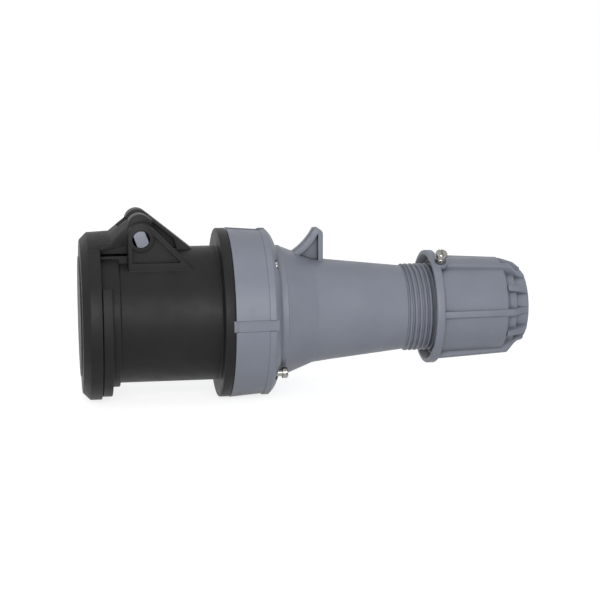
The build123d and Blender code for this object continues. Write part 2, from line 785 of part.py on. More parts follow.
# Joint: threaded inserts, seal and the screws that hold the housing
with BuildPart() as threaded_inserts:
    with BuildSketch(across(shell_length)):
        with PolarLocations(screw_circle_r, screw_count, start_angle=45):
            Circle(screw_r + insert_wall)
            Circle(screw_r, mode=Mode.SUBTRACT)
    extrude(amount=-screw_grip)
save(threaded_inserts.part, "threaded_inserts")

with BuildPart() as flange_seal:
    with BuildSketch(across(shell_length - seal_thickness)):
        Circle(seal_r + seal_width / 2)
        Circle(seal_r - seal_width / 2, mode=Mode.SUBTRACT)
    extrude(amount=seal_thickness)
save(flange_seal.part, "flange_seal")

# Cable housing
with BuildPart() as cable_housing:
    with BuildSketch(Plane.XZ):
        with BuildLine():
            Polyline(
                (shell_length, wiring_r),
                (shell_length, collar_front_r),
                (collar_end_x - bead_length, collar_rear_r),
                (collar_end_x - bead_length, bead_r),
                (collar_end_x, bead_r),
            )
            ThreePointArc(
                (collar_end_x, bead_r),
                (collar_end_x + shoulder_bow, (bead_r + collar_top_r) / 2),
                (shoulder_x, collar_top_r),
            )
            Polyline(
                (shoulder_x, collar_top_r),
                (band_end_x, collar_top_r),
                (band_end_x + band_step, collar_top_r - band_step),
                (neck_x, neck_r),
                (taper_x, taper_r),
                (spigot_x - 1.5, spigot_root_r),
                (spigot_x, spigot_r),
                (spigot_end_x - 1, spigot_r),
                (spigot_end_x, spigot_r - 1),
                (spigot_end_x, bush_r + bush_fit),
                (bush_seat_x, bush_r + bush_fit),
                (bush_seat_x, cable_hole_r),
                (bush_seat_x - housing_wall, cable_hole_r),
                (bush_seat_x - housing_wall - 6, spigot_root_r - housing_wall),
                (taper_x, taper_r - housing_wall),
                (neck_x, neck_r - housing_wall),
                (band_end_x, collar_top_r - housing_wall),
                (collar_end_x, wiring_r),
                (shell_length, wiring_r),
            )
        make_face()
    revolve(axis=Axis.X)
    # hook on top of the cone: a web with a wider rim along its top and rear edges
    hook_base_z = taper_r - housing_wall / 2
    hook_foot = (hook_front_x, hook_top_z - 1.8 * hook_bend_drop)
    hook_bend = (hook_front_x + 0.6 * hook_rise_length, hook_top_z - hook_bend_drop)
    hook_tip = (hook_tip_x, hook_top_z - 0.8)
    hook_back = (hook_rear_x, hook_top_z - hook_top_round)
    shift_x = hook_rim_thickness * 0.75
    shift_z = -hook_rim_thickness * 0.75
    with BuildSketch(Plane.XZ.offset(-hook_web / 2)):
        with BuildLine():
            ThreePointArc(hook_foot, hook_bend, hook_tip)
            ThreePointArc(hook_tip, (hook_tip_x + 3.5, hook_top_z - 0.4), hook_back)
            Polyline(hook_back, (hook_rear_x, hook_base_z), (hook_front_x, hook_base_z), hook_foot)
        make_face()
    extrude(amount=hook_web)
    with BuildSketch(Plane.XZ.offset(-hook_rim_width / 2)):
        with BuildLine():
            inner_foot = (hook_foot[0] + shift_x, hook_foot[1] + shift_z)
            inner_bend = (hook_bend[0] + shift_x, hook_bend[1] + shift_z)
            inner_tip = (hook_tip[0] + shift_x, hook_tip[1] + shift_z)
            ThreePointArc(hook_foot, hook_bend, hook_tip)
            ThreePointArc(hook_tip, (hook_tip_x + 3.5, hook_top_z - 0.4), hook_back)
            Polyline(
                hook_back,
                (hook_rear_x, hook_base_z),
                (hook_rear_x - hook_rim_thickness, hook_base_z),
                (hook_rear_x - hook_rim_thickness, inner_tip[1]),
                inner_tip,
            )
            ThreePointArc(inner_tip, inner_bend, inner_foot)
            Line(inner_foot, hook_foot)
        make_face()
    extrude(amount=hook_rim_width)
    # the hook and all else stay out of the wiring space
    with BuildSketch(Plane.XZ):
        Polygon(
            (band_end_x, 0),
            (band_end_x, collar_top_r - housing_wall),
            (neck_x, neck_r - housing_wall),
            (taper_x, taper_r - housing_wall),
            (taper_x + 20, 0),
            align=None,
        )
    revolve(axis=Axis.X, mode=Mode.SUBTRACT)
    # shallow guide grooves down the drafted collar, and the tabs in front of them
    for angle in (0, 90, 180, 270):
        groove_end_x = collar_end_x + shoulder_depth
        with BuildSketch(radial_plane(angle).offset(-groove_width / 2)):
            Polygon(
                (shell_length, collar_front_r - groove_depth),
                (shell_length, 2 * collar_front_r),
                (groove_end_x, 2 * collar_front_r),
                (groove_end_x, collar_rear_r - groove_depth - collar_draft / 3),
                align=None,
            )
        extrude(amount=groove_width, mode=Mode.SUBTRACT)
        with BuildSketch(outward_plane(angle, shell_length, flange_r - tab_thickness)):
            Rectangle(2 * tab_length, groove_width)
        extrude(amount=tab_thickness)
    # screw holes, and notches over the screw heads in the cone
    with BuildSketch(across(shell_length)):
        with PolarLocations(screw_circle_r, screw_count, start_angle=45):
            Circle(screw_r + screw_clearance)
    extrude(amount=shoulder_depth + collar_front_to_bead + bead_length, mode=Mode.SUBTRACT)
    with BuildSketch(across(collar_end_x)):
        with PolarLocations(screw_circle_r, screw_count, start_angle=45):
            Circle(notch_r)
    extrude(amount=2 * shoulder_depth, mode=Mode.SUBTRACT)
save(cable_housing.part, "cable_housing")

# the two upper screws are home, the two lower ones stand off
upper_screws = headed_screws(
    [screw_circle_r], [45, 135], collar_end_x,
    screw_r, collar_end_x - shell_length + screw_grip, screw_head_r, screw_head_height,
)
lower_seat_x = collar_end_x + screw_stand_off
lower_screws = headed_screws(
    [screw_circle_r], [225, 315], lower_seat_x,
    screw_r, lower_seat_x - shell_length + screw_grip, screw_head_r, screw_head_height,
)
with BuildPart() as housing_screws:
    add(upper_screws)
    add(lower_screws)
save(housing_screws.part, "housing_screws")

# Gland: rubber bush, thrust ring, nut and lock screw
with BuildPart() as gland_bush:
    with BuildSketch(across(bush_seat_x)):
        Circle(bush_r)
        Circle(bush_bore_r, mode=Mode.SUBTRACT)
    extrude(amount=bush_length)
    rear_edges = gland_bush.edges().filter_by(GeomType.CIRCLE).group_by(Axis.X)[-1]
    chamfer(rear_edges.sort_by(SortBy.RADIUS)[-1], bush_chamfer)
save(gland_bush.part, "gland_bush")

thrust_x = bush_seat_x + bush_length + thrust_gap
with BuildPart() as thrust_ring:
    with BuildSketch(across(thrust_x)):
        Circle(bush_r + bush_fit - thrust_fit)
        Circle(thrust_bore_r, mode=Mode.SUBTRACT)
    extrude(amount=thrust_end_x - thrust_x)
    # slots from the rear part the ring into clamping fingers
    with BuildSketch(across(thrust_end_x - 4)):
        for i in range(finger_count // 2):
            Rectangle(3 * bush_r, clamp_finger_slot, rotation=360 / finger_count * i)
    extrude(amount=-clamp_finger_length, mode=Mode.SUBTRACT)
save(thrust_ring.part, "thrust_ring")

nut_bore_r = spigot_r + nut_thread_clearance
nut_step_x = thrust_end_x + seat_gap
nut_thread_end_x = nut_front_x + nut_thread_length
nut_sleeve_r = bush_r + nut_sleeve_gap
nut_body_end_x = nut_front_x + nut_body_length
nut_ring_x = nut_end_x - nut_end_ring_length
rib_root_r = nut_bore_r + 1.2
with BuildPart() as gland_nut:
    with BuildSketch(Plane.XZ):
        with BuildLine():
            Polyline(
                (nut_front_x, nut_mouth_r),
                (nut_front_x, nut_rim_r - nut_rim_round),
                (nut_front_x + nut_rim_round, nut_rim_r),
                (nut_front_x + nut_rim_length - nut_rim_round, nut_rim_r),
                (nut_front_x + nut_rim_length, nut_rim_r - nut_rim_round),
                (nut_front_x + nut_rim_length, nut_body_r),
                (nut_body_end_x, nut_body_end_r),
                (nut_body_end_x + nut_rim_round * 3, nut_shoulder_r),
                (nut_ring_x, nut_shoulder_r),
                (nut_ring_x, nut_end_ring_r),
                (nut_end_x - nut_rim_round, nut_end_ring_r),
                (nut_end_x, nut_end_ring_r - nut_rim_round),
                (nut_end_x, nut_exit_r),
                (nut_step_x, nut_exit_r),
                (nut_step_x, nut_sleeve_r),
                (nut_thread_end_x, nut_sleeve_r),
                (nut_thread_end_x, nut_bore_r),
                (nut_front_x + nut_mouth_depth, nut_bore_r),
                (nut_front_x + nut_mouth_depth - nut_rim_round * 2, nut_body_r - nut_rim_round * 2),
                (nut_front_x + nut_rim_length - nut_rim_round, nut_body_r - nut_rim_round),
                (nut_front_x, nut_mouth_r),
            )
        make_face()
    revolve(axis=Axis.X)
    for i in range(2 * rib_count):
        is_long = i % 2 == 0
        start_x = nut_front_x + nut_rim_length - 1 if is_long else nut_end_x - short_rib_length
        root_r = rib_root_r if is_long else nut_sleeve_r + 1
        start_r = rib_front_r if is_long else short_rib_r
        chamfer_r = rib_rear_r if is_long else short_rib_r
        outline = [
            (start_x, root_r),
            (start_x, start_r),
            (rib_chamfer_x, chamfer_r),
            (nut_end_x - short_rib_length / 3, rib_end_r + 1),
            (nut_end_x - nut_rim_round / 2, rib_end_r),
            (nut_end_x - nut_rim_round / 2, nut_exit_r + 1),
            (nut_step_x + 1, nut_exit_r + 1),
            (nut_step_x + 1, nut_sleeve_r + 1),
        ]
        if is_long:
            outline += [(nut_thread_end_x + 1, nut_sleeve_r + 1), (nut_thread_end_x + 1, root_r)]
        with BuildSketch(radial_plane(90 + 180 / rib_count * i).offset(-rib_width / 2)):
            Polygon(*outline, align=None)
        extrude(amount=rib_width)
    # boss and hole for the lock screw
    with BuildSketch(outward_plane(90 - lock_screw_angle, lock_screw_x, nut_mouth_r)):
        Circle(lock_boss_r)
    extrude(amount=lock_boss_top_r - nut_mouth_r)
    with BuildSketch(outward_plane(90 - lock_screw_angle, lock_screw_x, nut_bore_r - 3)):
        Circle(lock_screw_r + screw_clearance)
    extrude(amount=20, mode=Mode.SUBTRACT)
save(gland_nut.part, "gland_nut")

lock_collar_base_r = lock_boss_top_r + lock_collar_gap
lock_head_base_r = lock_collar_base_r + lock_collar_height + lock_collar_gap
with BuildPart() as lock_screw:
    with BuildSketch(outward_plane(90 - lock_screw_angle, lock_screw_x, nut_bore_r + screw_clearance)):
        Circle(lock_screw_r)
    extrude(amount=lock_head_base_r + 1 - nut_bore_r - screw_clearance)
    with BuildSketch(outward_plane(90 - lock_screw_angle, lock_screw_x, lock_collar_base_r)):
        Circle(lock_collar_r)
    extrude(amount=lock_collar_height)
    with BuildSketch(outward_plane(90 - lock_screw_angle, lock_screw_x, lock_head_base_r)):
        Circle(lock_head_r)
    extrude(amount=lock_head_height)
save(lock_screw.part, "lock_screw")
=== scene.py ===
"""The look of the industrial power coupler, dressed over its CAD frame."""

import json
import math

import bmesh
import bpy
from mathutils import Matrix, Vector


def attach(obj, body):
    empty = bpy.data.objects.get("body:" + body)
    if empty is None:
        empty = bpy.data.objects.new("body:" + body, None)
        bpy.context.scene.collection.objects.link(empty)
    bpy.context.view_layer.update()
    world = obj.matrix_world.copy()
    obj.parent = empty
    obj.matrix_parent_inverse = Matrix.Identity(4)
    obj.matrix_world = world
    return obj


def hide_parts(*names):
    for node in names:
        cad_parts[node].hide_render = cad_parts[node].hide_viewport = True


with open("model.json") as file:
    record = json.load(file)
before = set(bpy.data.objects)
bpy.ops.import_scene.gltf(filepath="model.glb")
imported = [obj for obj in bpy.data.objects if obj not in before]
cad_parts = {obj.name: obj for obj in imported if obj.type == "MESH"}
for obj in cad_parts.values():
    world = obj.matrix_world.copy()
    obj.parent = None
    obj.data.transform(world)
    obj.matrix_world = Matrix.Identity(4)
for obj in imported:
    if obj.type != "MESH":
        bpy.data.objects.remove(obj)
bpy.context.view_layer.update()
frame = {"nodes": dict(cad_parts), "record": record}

# Sizes are in millimetres and angles in degrees, in the frame of the CAD source. Names that end
# in _R are radii, and names that end in _HALF are half widths.
MM = 0.001
WELD = 1e-7  # metres
ROUND_STEPS = 128
STRAIGHT_ANGLE = 172.0
ROUNDING_SHARE = 0.45
SMOOTH_ANGLE = 32.0
OVER = 1.0  # how far a cutter runs past a face, and a part into its neighbour
THROUGH = 40.0

SHELL_BORE_R = 44.3
SHELL_R = 47.8
SHELL_LENGTH = 97.1
MOUTH_RING_R = 50.6
MOUTH_RING_END = 20.1
BAYONET_R = 57.3
BAYONET_START = 7.6
BAYONET_END = 14.6
BAYONET_GAP_ANGLE = 28.0
FLANGE_R = 60.2
FLANGE_X = 89.8
LEDGE_X = 61.0
CARRIER_SEAT_X = 70.0
CARRIER_BORE_R = 37.75
KEYWAY_WIDTH = 8.0
KEYWAY_DEPTH = 1.8
KEYWAY_TOP = 30.0
SCREW_CIRCLE_R = 53.0
SEAL_INNER_R = 45.9
SEAL_OUTER_R = 48.9
SEAL_DEPTH = 2.5
INSERT_R = 3.7
INSERT_LENGTH = 5.4
TAB_REACH = 1.5
TAB_HEIGHT = 1.4
TAB_DRAFT = 0.8
TAB_GAP = 0.1
NOTCH_TOP = 70.0
NOTCH_REAR = 100.0
GROOVE_WIDTH = 8.0
GROOVE_DEPTH = 1.2

PIN = (35.4, 57.5)  # (x, z) of the hinge
PIN_R = 4.9
PIN_FLATS = 7.1
PIN_HEAD_R = 5.8
PIN_HEAD_FLATS = 8.6
PIN_HEAD_BORE_R = 6.05
PIN_INSET = 1.0
PIN_LEAN = 20.0
PIN_CLEARANCE = 0.08

EAR_INNER_Y = 25.0
EAR_OUTER_Y = 32.0
EAR_SUNK = 3.5 / 3
EAR_ARCH_R = 9.2
EAR_ARCH_RISE = 2.2
EAR_DIAGONAL = 45.0
EAR_RIB = 3.0
EAR_SILL = 5.4
EAR_PANEL_DEPTH = 3.2
EAR_BOSS_WALL = 2.8
BOSS_STEP = 0.1
FOOT_DEPTH = 1.2
FOOT_Z = SHELL_R * 0.8
BRIDGE_GAP = 1.5
BRIDGE_SUNK = 0.5
RIDGE_DROP = 39.1
RIDGE_FRONT = 17.6
RIDGE_FOOT = 36.1
RIDGE_SUNK = 5.0
HOOD_HALF = 8.4
HOOD_TIP = 7.5
HOOD_UNDER_R = 9.0
HOOD_UNDER_ANGLE = 60.0
HOOD_END = 61.5
RECESS_DEPTH = 4.5
RECESS_RIM = 2.6
RECESS_TOP = 1.8
RECESS_NOSE = (2.2, 4.0)
RECESS_FOOT = 7.0
RECESS_REAR = 2.0
RECESS_OUT = 12.0

LID_R = 59.2
LID_WALL = 3.5
LID_CHAMFER = 5.2
LID_REAR_X = 7.3
PLATE_INNER_X = -2.5
DISC_R = 42.3
DISC_HEIGHT = 1.0
SKIRT_R = 57.7
ARM_UNDER_R = 52.1
ARM_UNDER = 10.5
ARM_FRONT = -4.6
ARM_HALF = 29.0
ARM_FLARE_START = 7.3
ARM_FLARE_END = 25.5
ARM_CROWN = ((-4.6, 55.3), (-0.8, 59.1), (14.5, 59.9))  # (x, r) points
ARM_CROWN_R = 69.7
ARM_BLANK_TOP = PIN[1] + 17.6
ARM_CUT_TOP = PIN[1] + 35.2
KNUCKLE_HALF = 24.2
KNUCKLE_HUB_R = 8.3
KNUCKLE_CROWN_CENTRE = (35.2, 65.2)
KNUCKLE_CROWN_R = 8.5
KNUCKLE_CROWN_SPAN = (167.5, 50.9)
KNUCKLE_HEEL_R = 14.5
KNUCKLE_HEEL_ANGLE = 51.2
SLOT_HALF = 9.0
SLOT_ANGLE = 158.5
SLOT_REACH = 26.0
SLOT_GAP = 0.5

COLLAR_FRONT_R = 60.6
COLLAR_REAR_R = 58.8
COLLAR_BORE_R = 45.0
COLLAR_TOP_R = 47.2
BEAD_START = 120.5
BEAD_END = 124.6
BEAD_R = 59.7
SHOULDER_X = 130.8
SHOULDER_BOW = 4.7
CONE_START = 135.2
CONE_CHAMFER = 0.7
NECK = (157.9, 37.8)  # (x, r)
TAPER = (171.4, 36.1)  # (x, r)
HOUSING_WALL = 4.0
WIRING_FUNNEL = 20.0
SPIGOT_STEP = ((1.5, 30.5), (1.0, 29.9))
BUSH_R = 27.0
BUSH_SEAT_X = 240.0
CABLE_HOLE = (236.0, 22.5)  # (x, r)
CABLE_FUNNEL = (230.0, 26.5)  # (x, r)
GROOVE_FALL = 0.6
GROOVE_TOP = 80.0
CUT_FRONT = 90.0
SCREW_HOLE_R = 2.8
SCREW_HOLE_END = 140.0
SCREW_NOTCH_R = 4.8
SCREW_NOTCH_LENGTH = 16.0

THREAD_START = 225.0
THREAD_END = 263.6
THREAD_PITCH = 3.6
THREAD_ROOT_R = 29.9
THREAD_CREST_R = 31.6
THREAD_CORE_R = 28.0
THREAD_SUNK = 0.5
THREAD_FLANK = 0.26
THREAD_VALLEY = 0.42
THREAD_ROWS = 14
THREAD_COLUMNS = 120
SPIGOT_END = 264.0

HOOK_FRONT = 143.5
HOOK_TOP = 59.4
HOOK_TIP = 160.0
HOOK_REAR = 166.0
HOOK_RIM = 3.4
HOOK_RIM_SHARE = 0.75
HOOK_SUNK = 2.0
HOOK_FOOT_DROP = 18.0
HOOK_BEND = (9.9, 10.0)
HOOK_TIP_DROP = 0.8
HOOK_REAR_DROP = 4.5
HOOK_CREST = (3.5, 0.4)
HOOK_WEB_HALF = 1.7
HOOK_RIM_HALF = 7.0

SCREW_HEAD = ((0, 3.6), (0.3, 3.9), (3.2, 3.9), (3.9, 3.4), (4.2, 2.8))  # (height, r) points
SCREW_SHANK_R = 2.5
SCREW_SLIT_DEPTH = 1.9
SCREW_SLIT_HALF = 0.6
SCREW_SLIT_REACH = 5.0
UPPER_SEAT_X = BEAD_END
LOWER_SEAT_X = BEAD_END + 7.0

NUT_FRONT = 242.1
NUT_MOUTH_R = 38.0
NUT_RIM_R = 41.1
NUT_RIM_LENGTH = 6.2
NUT_BODY_FRONT_R = 36.2
NUT_BODY_REAR_R = 34.9
NUT_BODY_END = 295.4
NUT_SLOPE = 3.6
NUT_STEP_X = 303.8
NUT_STEP_R = 29.2
NUT_RING_R = 25.8
NUT_END = 313.6
NUT_EXIT_R = 22.0
NUT_LIP_X = 301.1
NUT_SLEEVE_R = 27.4
NUT_BORE_R = 31.75
NUT_BORE_LENGTH = 30.0
NUT_LEAD_IN = ((8.0, 31.75), (5.6, 33.8), (5.0, 35.0))  # (distance from the front, r) points
RIB_COUNT = 12
RIB_HALF = 2.3
RIB_ROOT_R = 32.95
LONG_RIB_FRONT = 5.2  # from the front of the nut
SHORT_RIB_X = 296.6
LONG_RIB_TOP_R = (39.8, 36.7, 28.6)
SHORT_RIB_TOP_R = (34.4, 33.6, 31.0)
RIB_SHOULDER_X = 300.2
RIB_WAIST_X = 307.9
RIB_END_X = 313.0
RIB_END_R = 27.0

LOCK_X = 248.5
LOCK_ANGLE = 60.0
LOCK_BOSS_R = 5.6
LOCK_BOSS_SPAN = (38.0, 41.3)
LOCK_HOLE_R = 2.9
LOCK_HOLE_SPAN = (28.75, 48.75)
LOCK_SCREW = (  # (distance from the nut's axis, r) points
    (32.05, 2.6),
    (41.8, 2.6),
    (41.8, 3.8),
    (42.1, 4.1),
    (45.3, 4.1),
    (45.6, 3.8),
    (45.6, 2.6),
    (46.1, 2.6),
    (46.1, 4.0),
    (46.4, 4.3),
    (48.6, 4.3),
    (49.4, 3.9),
    (49.9, 3.1),
)
LOCK_SLIT_HALF = 0.55
LOCK_SLIT_SPAN = (48.4, 52.0)
LOCK_SLIT_REACH = 6.0


# Outlines


def polar(radius, degrees, centre=(0.0, 0.0)):
    """The point at a distance and an angle from a centre."""
    turn = math.radians(degrees)
    return (centre[0] + radius * math.cos(turn), centre[1] + radius * math.sin(turn))


def arc(centre, radius, start, end, steps=12):
    """Points along an arc, both ends included."""
    return [polar(radius, start + (end - start) * i / steps, centre) for i in range(steps + 1)]


def three_point(start, middle, end, steps=12):
    """Points along the circle through three points, both ends included."""
    (ax, ay), (bx, by), (cx, cy) = start, middle, end
    a, b, c = ax**2 + ay**2, bx**2 + by**2, cx**2 + cy**2
    d = 2 * (ax * (by - cy) + bx * (cy - ay) + cx * (ay - by))
    ux = (a * (by - cy) + b * (cy - ay) + c * (ay - by)) / d
    uy = (a * (cx - bx) + b * (ax - cx) + c * (bx - ax)) / d
    radius = math.hypot(ax - ux, ay - uy)
    first = math.degrees(math.atan2(ay - uy, ax - ux))
    mid = (math.degrees(math.atan2(by - uy, bx - ux)) - first) % 360
    last = (math.degrees(math.atan2(cy - uy, cx - ux)) - first) % 360
    if mid > last:
        last -= 360
    return arc((ux, uy), radius, first, first + last, steps)


def softened(points, radii, steps=4):
    """A closed outline with rounded corners; radii is one number, or a dict of some corners."""
    made = []
    count = len(points)
    for i, corner in enumerate(points):
        radius = radii.get(i, 0) if isinstance(radii, dict) else radii
        here = Vector(corner)
        back = Vector(points[i - 1]) - here
        ahead = Vector(points[(i + 1) % count]) - here
        angle = back.angle(ahead, math.pi)
        if radius <= 0 or angle > math.radians(STRAIGHT_ANGLE):
            made.append(corner)
            continue
        room = ROUNDING_SHARE * min(back.length, ahead.length)
        reach = min(radius / math.tan(angle / 2), room)
        start = here + back.normalized() * reach
        end = here + ahead.normalized() * reach
        for k in range(steps + 1):
            t = k / steps
            point = start * (1 - t) ** 2 + here * 2 * t * (1 - t) + end * t**2
            made.append((point.x, point.y))
    return made


def span(side, inner, outer):
    """The low and the high Y of what lies between two distances on one side."""
    return sorted((side * inner, side * outer))


# Solids


def mesh_object(name, verts, faces):
    mesh = bpy.data.meshes.new(name)
    mesh.from_pydata([tuple(c * MM for c in v) for v in verts], [], faces)
    work = bmesh.new()
    work.from_mesh(mesh)
    bmesh.ops.remove_doubles(work, verts=work.verts, dist=WELD)
    bmesh.ops.recalc_face_normals(work, faces=work.faces)
    work.to_mesh(mesh)
    work.free()
    made = bpy.data.objects.new(name, mesh)
    bpy.context.collection.objects.link(made)
    return made


def revolved(name, outline, steps=ROUND_STEPS, start=0.0, end=360.0):
    """A closed outline of (x, r) points turned about the axis, from +Z towards -Y."""
    whole = math.isclose(end - start, 360)
    rings = steps if whole else steps + 1
    verts = []
    for i in range(rings):
        turn = math.radians(start + (end - start) * i / steps)
        verts += [(x, -r * math.sin(turn), r * math.cos(turn)) for x, r in outline]
    n = len(outline)
    faces = []
    for i in range(steps):
        a, b = i * n, ((i + 1) % rings) * n
        for k in range(n):
            j = (k + 1) % n
            on_axis = outline[k][1] == 0 and outline[j][1] == 0
            if not on_axis:
                faces.append((a + k, a + j, b + j, b + k))
    if not whole:
        faces += [tuple(range(n)), tuple(range(steps * n, steps * n + n))]
    return mesh_object(name, verts, faces)


def prism(name, outline, low, high, along="Y"):
    """A closed outline stretched: (x, z) points along Y, or (x, y) points along Z."""
    n = len(outline)
    verts = []
    for level in (low, high):
        verts += [(x, level, v) if along == "Y" else (x, v, level) for x, v in outline]
    faces = [tuple(range(n)), tuple(range(n, 2 * n))]
    faces += [(k, (k + 1) % n, n + (k + 1) % n, n + k) for k in range(n)]
    return mesh_object(name, verts, faces)


def block(name, xs, ys, zs):
    """A box between two values of X, of Y and of Z."""
    outline = [(xs[0], zs[0]), (xs[0], zs[1]), (xs[1], zs[1]), (xs[1], zs[0])]
    return prism(name, outline, *ys)


def turned(name, start, direction, outline, steps):
    """A turned bar from start along direction; the outline has (distance, radius) points."""
    axis = Vector(direction).normalized()
    side = axis.orthogonal().normalized()
    other = axis.cross(side)
    origin = Vector(start)
    verts = []
    for along, r in outline:
        for i in range(steps):
            turn = 2 * math.pi * i / steps
            spoke = side * math.cos(turn) + other * math.sin(turn)
            verts.append(tuple(origin + axis * along + spoke * r))
    faces = []
    for k in range(len(outline) - 1):
        a, b = k * steps, (k + 1) * steps
        for i in range(steps):
            j = (i + 1) % steps
            faces.append((a + i, a + j, b + j, b + i))
    last = (len(outline) - 1) * steps
    faces += [tuple(range(steps)), tuple(range(last, last + steps))]
    return mesh_object(name, verts, faces)


def axial_rod(start_x, end_x, radius, y=0.0, z=0.0, steps=64):
    """A round bar along X."""
    outline = [(0, radius), (end_x - start_x, radius)]
    return turned("rod", (start_x, y, z), (1, 0, 0), outline, steps)


def cross_rod(low_y, high_y, radius, steps=64):
    """A round bar along Y on the axis of the hinge."""
    outline = [(0, radius), (high_y - low_y, radius)]
    return turned("rod", (PIN[0], low_y, PIN[1]), (0, 1, 0), outline, steps)


def applied(obj):
    """Bakes the modifiers of obj into its mesh."""
    seen = obj.evaluated_get(bpy.context.evaluated_depsgraph_get())
    mesh = bpy.data.meshes.new_from_object(seen)
    obj.modifiers.clear()
    obj.data = mesh
    return obj


def carved(obj, *cutters, operation="DIFFERENCE"):
    """obj with each cutter taken away, or cut down to what they share; this uses them up."""
    for cutter in cutters:
        step = obj.modifiers.new("carve", "BOOLEAN")
        step.operation = operation
        step.solver = "EXACT"
        step.object = cutter
        applied(obj)
        bpy.data.objects.remove(cutter)
    return obj


def edged(obj, width, segments=2, angle=35):
    """obj with its edges rounded."""
    step = obj.modifiers.new("edges", "BEVEL")
    step.width = width * MM
    step.segments = segments
    step.limit_method = "ANGLE"
    step.angle_limit = math.radians(angle)
    step.use_clamp_overlap = True
    return applied(obj)


def joined(name, objs):
    """One object that holds the meshes of several."""
    work = bmesh.new()
    for obj in objs:
        work.from_mesh(obj.data)
    mesh = bpy.data.meshes.new(name)
    work.to_mesh(mesh)
    work.free()
    for obj in objs:
        bpy.data.objects.remove(obj)
    made = bpy.data.objects.new(name, mesh)
    bpy.context.collection.objects.link(made)
    return made


def dressed(obj, body, slot, node):
    """The finished piece takes the place of a CAD node on its body."""
    for polygon in obj.data.polygons:
        polygon.use_smooth = True
    obj.data.set_sharp_from_angle(angle=math.radians(SMOOTH_ANGLE))
    obj.data.materials.clear()
    obj.data.materials.append(PAINTS[slot])
    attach(obj, body)
    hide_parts(node)


# Materials

# Textures: scale, detail and roughness
MOTTLE = (38.0, 4.0, 0.55)
RUB = (95.0, 3.0, 0.6)
GRAIN = (2600.0, 2.0, 0.6)
STREAK = (600.0, 3.0, 0.6)
TONE_RANGE = (0.35, 0.65)
RUB_RANGE = (0.3, 0.7)
RUB_DULLER = 0.06
METAL_DULLER = 0.08
RUB_SHINIER = 0.05
METAL_SHINIER = 0.06
GRAIN_HEIGHT = 0.4
SOFT_EDGE = 0.35
SOFT_EDGE_SAMPLES = 6
# Painted shade in recesses: how far occlusion reaches, how dark a closed recess is painted, the
# occlusion range and the number of samples
PAINTED_SHADE_REACH = 12.0
PAINTED_SHADE_DARKNESS = 0.2
PAINTED_SHADE_RANGE = (0.1, 0.68)
PAINTED_SHADE_SAMPLES = 8


def material(name):
    made = bpy.data.materials.new(name)
    made.use_nodes = True
    nodes = made.node_tree.nodes
    nodes.clear()
    shader = nodes.new("ShaderNodeBsdfPrincipled")
    out = nodes.new("ShaderNodeOutputMaterial")
    made.node_tree.links.new(shader.outputs[0], out.inputs[0])
    return made, nodes, made.node_tree.links, shader


def noise(nodes, links, scale, detail, roughness):
    made = nodes.new("ShaderNodeTexNoise")
    made.inputs["Scale"].default_value = scale
    made.inputs["Detail"].default_value = detail
    made.inputs["Roughness"].default_value = roughness
    links.new(nodes.new("ShaderNodeTexCoord").outputs["Object"], made.inputs["Vector"])
    return made.outputs["Fac"]


def ranged(nodes, links, value, low, high, start, end):
    """Values from start to end become low to high."""
    made = nodes.new("ShaderNodeMapRange")
    made.inputs["From Min"].default_value = start
    made.inputs["From Max"].default_value = end
    made.inputs["To Min"].default_value = low
    made.inputs["To Max"].default_value = high
    links.new(value, made.inputs["Value"])
    return made.outputs["Result"]


def mixed(nodes, links, factor, first, second):
    """A blend of two colours, each of them plain or from a node."""
    made = nodes.new("ShaderNodeMix")
    made.data_type = "RGBA"
    for name, colour in (("A", first), ("B", second)):
        if isinstance(colour, tuple):
            made.inputs[name].default_value = (*colour, 1)
        else:
            links.new(colour, made.inputs[name])
    links.new(factor, made.inputs["Factor"])
    return made.outputs["Result"]


def plastic(name, colour, other, roughness, grain, gloss):
    """Moulded plastic or rubber: mottled, with shade painted into its recesses, grained, with soft
    edges.
    """
    made, nodes, links, shader = material(name)
    mottle = noise(nodes, links, *MOTTLE)
    shade = mixed(nodes, links, ranged(nodes, links, mottle, 0, 1, *TONE_RANGE), colour, other)
    # Painted shade: ambient occlusion darkens the base colour in recesses, between parts and under
    # overhangs, down to a fifth of the colour
    recess = nodes.new("ShaderNodeAmbientOcclusion")
    recess.samples = PAINTED_SHADE_SAMPLES
    recess.inputs["Distance"].default_value = PAINTED_SHADE_REACH * MM
    openness = ranged(nodes, links, recess.outputs["AO"], 0, 1, *PAINTED_SHADE_RANGE)
    painted_shade_colour = tuple(channel * PAINTED_SHADE_DARKNESS for channel in colour)
    links.new(mixed(nodes, links, openness, painted_shade_colour, shade), shader.inputs["Base Color"])
    rub = noise(nodes, links, *RUB)
    dull = ranged(
        nodes, links, rub, roughness - RUB_SHINIER, roughness + RUB_DULLER, *RUB_RANGE
    )
    links.new(dull, shader.inputs["Roughness"])
    bump = nodes.new("ShaderNodeBump")
    bump.inputs["Strength"].default_value = grain
    bump.inputs["Distance"].default_value = GRAIN_HEIGHT * MM
    links.new(noise(nodes, links, *GRAIN), bump.inputs["Height"])
    rounder = nodes.new("ShaderNodeBevel")
    rounder.samples = SOFT_EDGE_SAMPLES
    rounder.inputs["Radius"].default_value = SOFT_EDGE * MM
    links.new(rounder.outputs["Normal"], bump.inputs["Normal"])
    links.new(bump.outputs["Normal"], shader.inputs["Normal"])
    shader.inputs["Specular IOR Level"].default_value = gloss
    return made


def metal(name, colour, other, roughness):
    """Metal with a faintly uneven tone."""
    made, nodes, links, shader = material(name)
    streak = noise(nodes, links, *STREAK)
    shade = mixed(nodes, links, ranged(nodes, links, streak, 0, 1, *TONE_RANGE), colour, other)
    links.new(shade, shader.inputs["Base Color"])
    dull = ranged(
        nodes, links, streak, roughness - METAL_SHINIER, roughness + METAL_DULLER, *RUB_RANGE
    )
    links.new(dull, shader.inputs["Roughness"])
    shader.inputs["Metallic"].default_value = 1.0
    return made


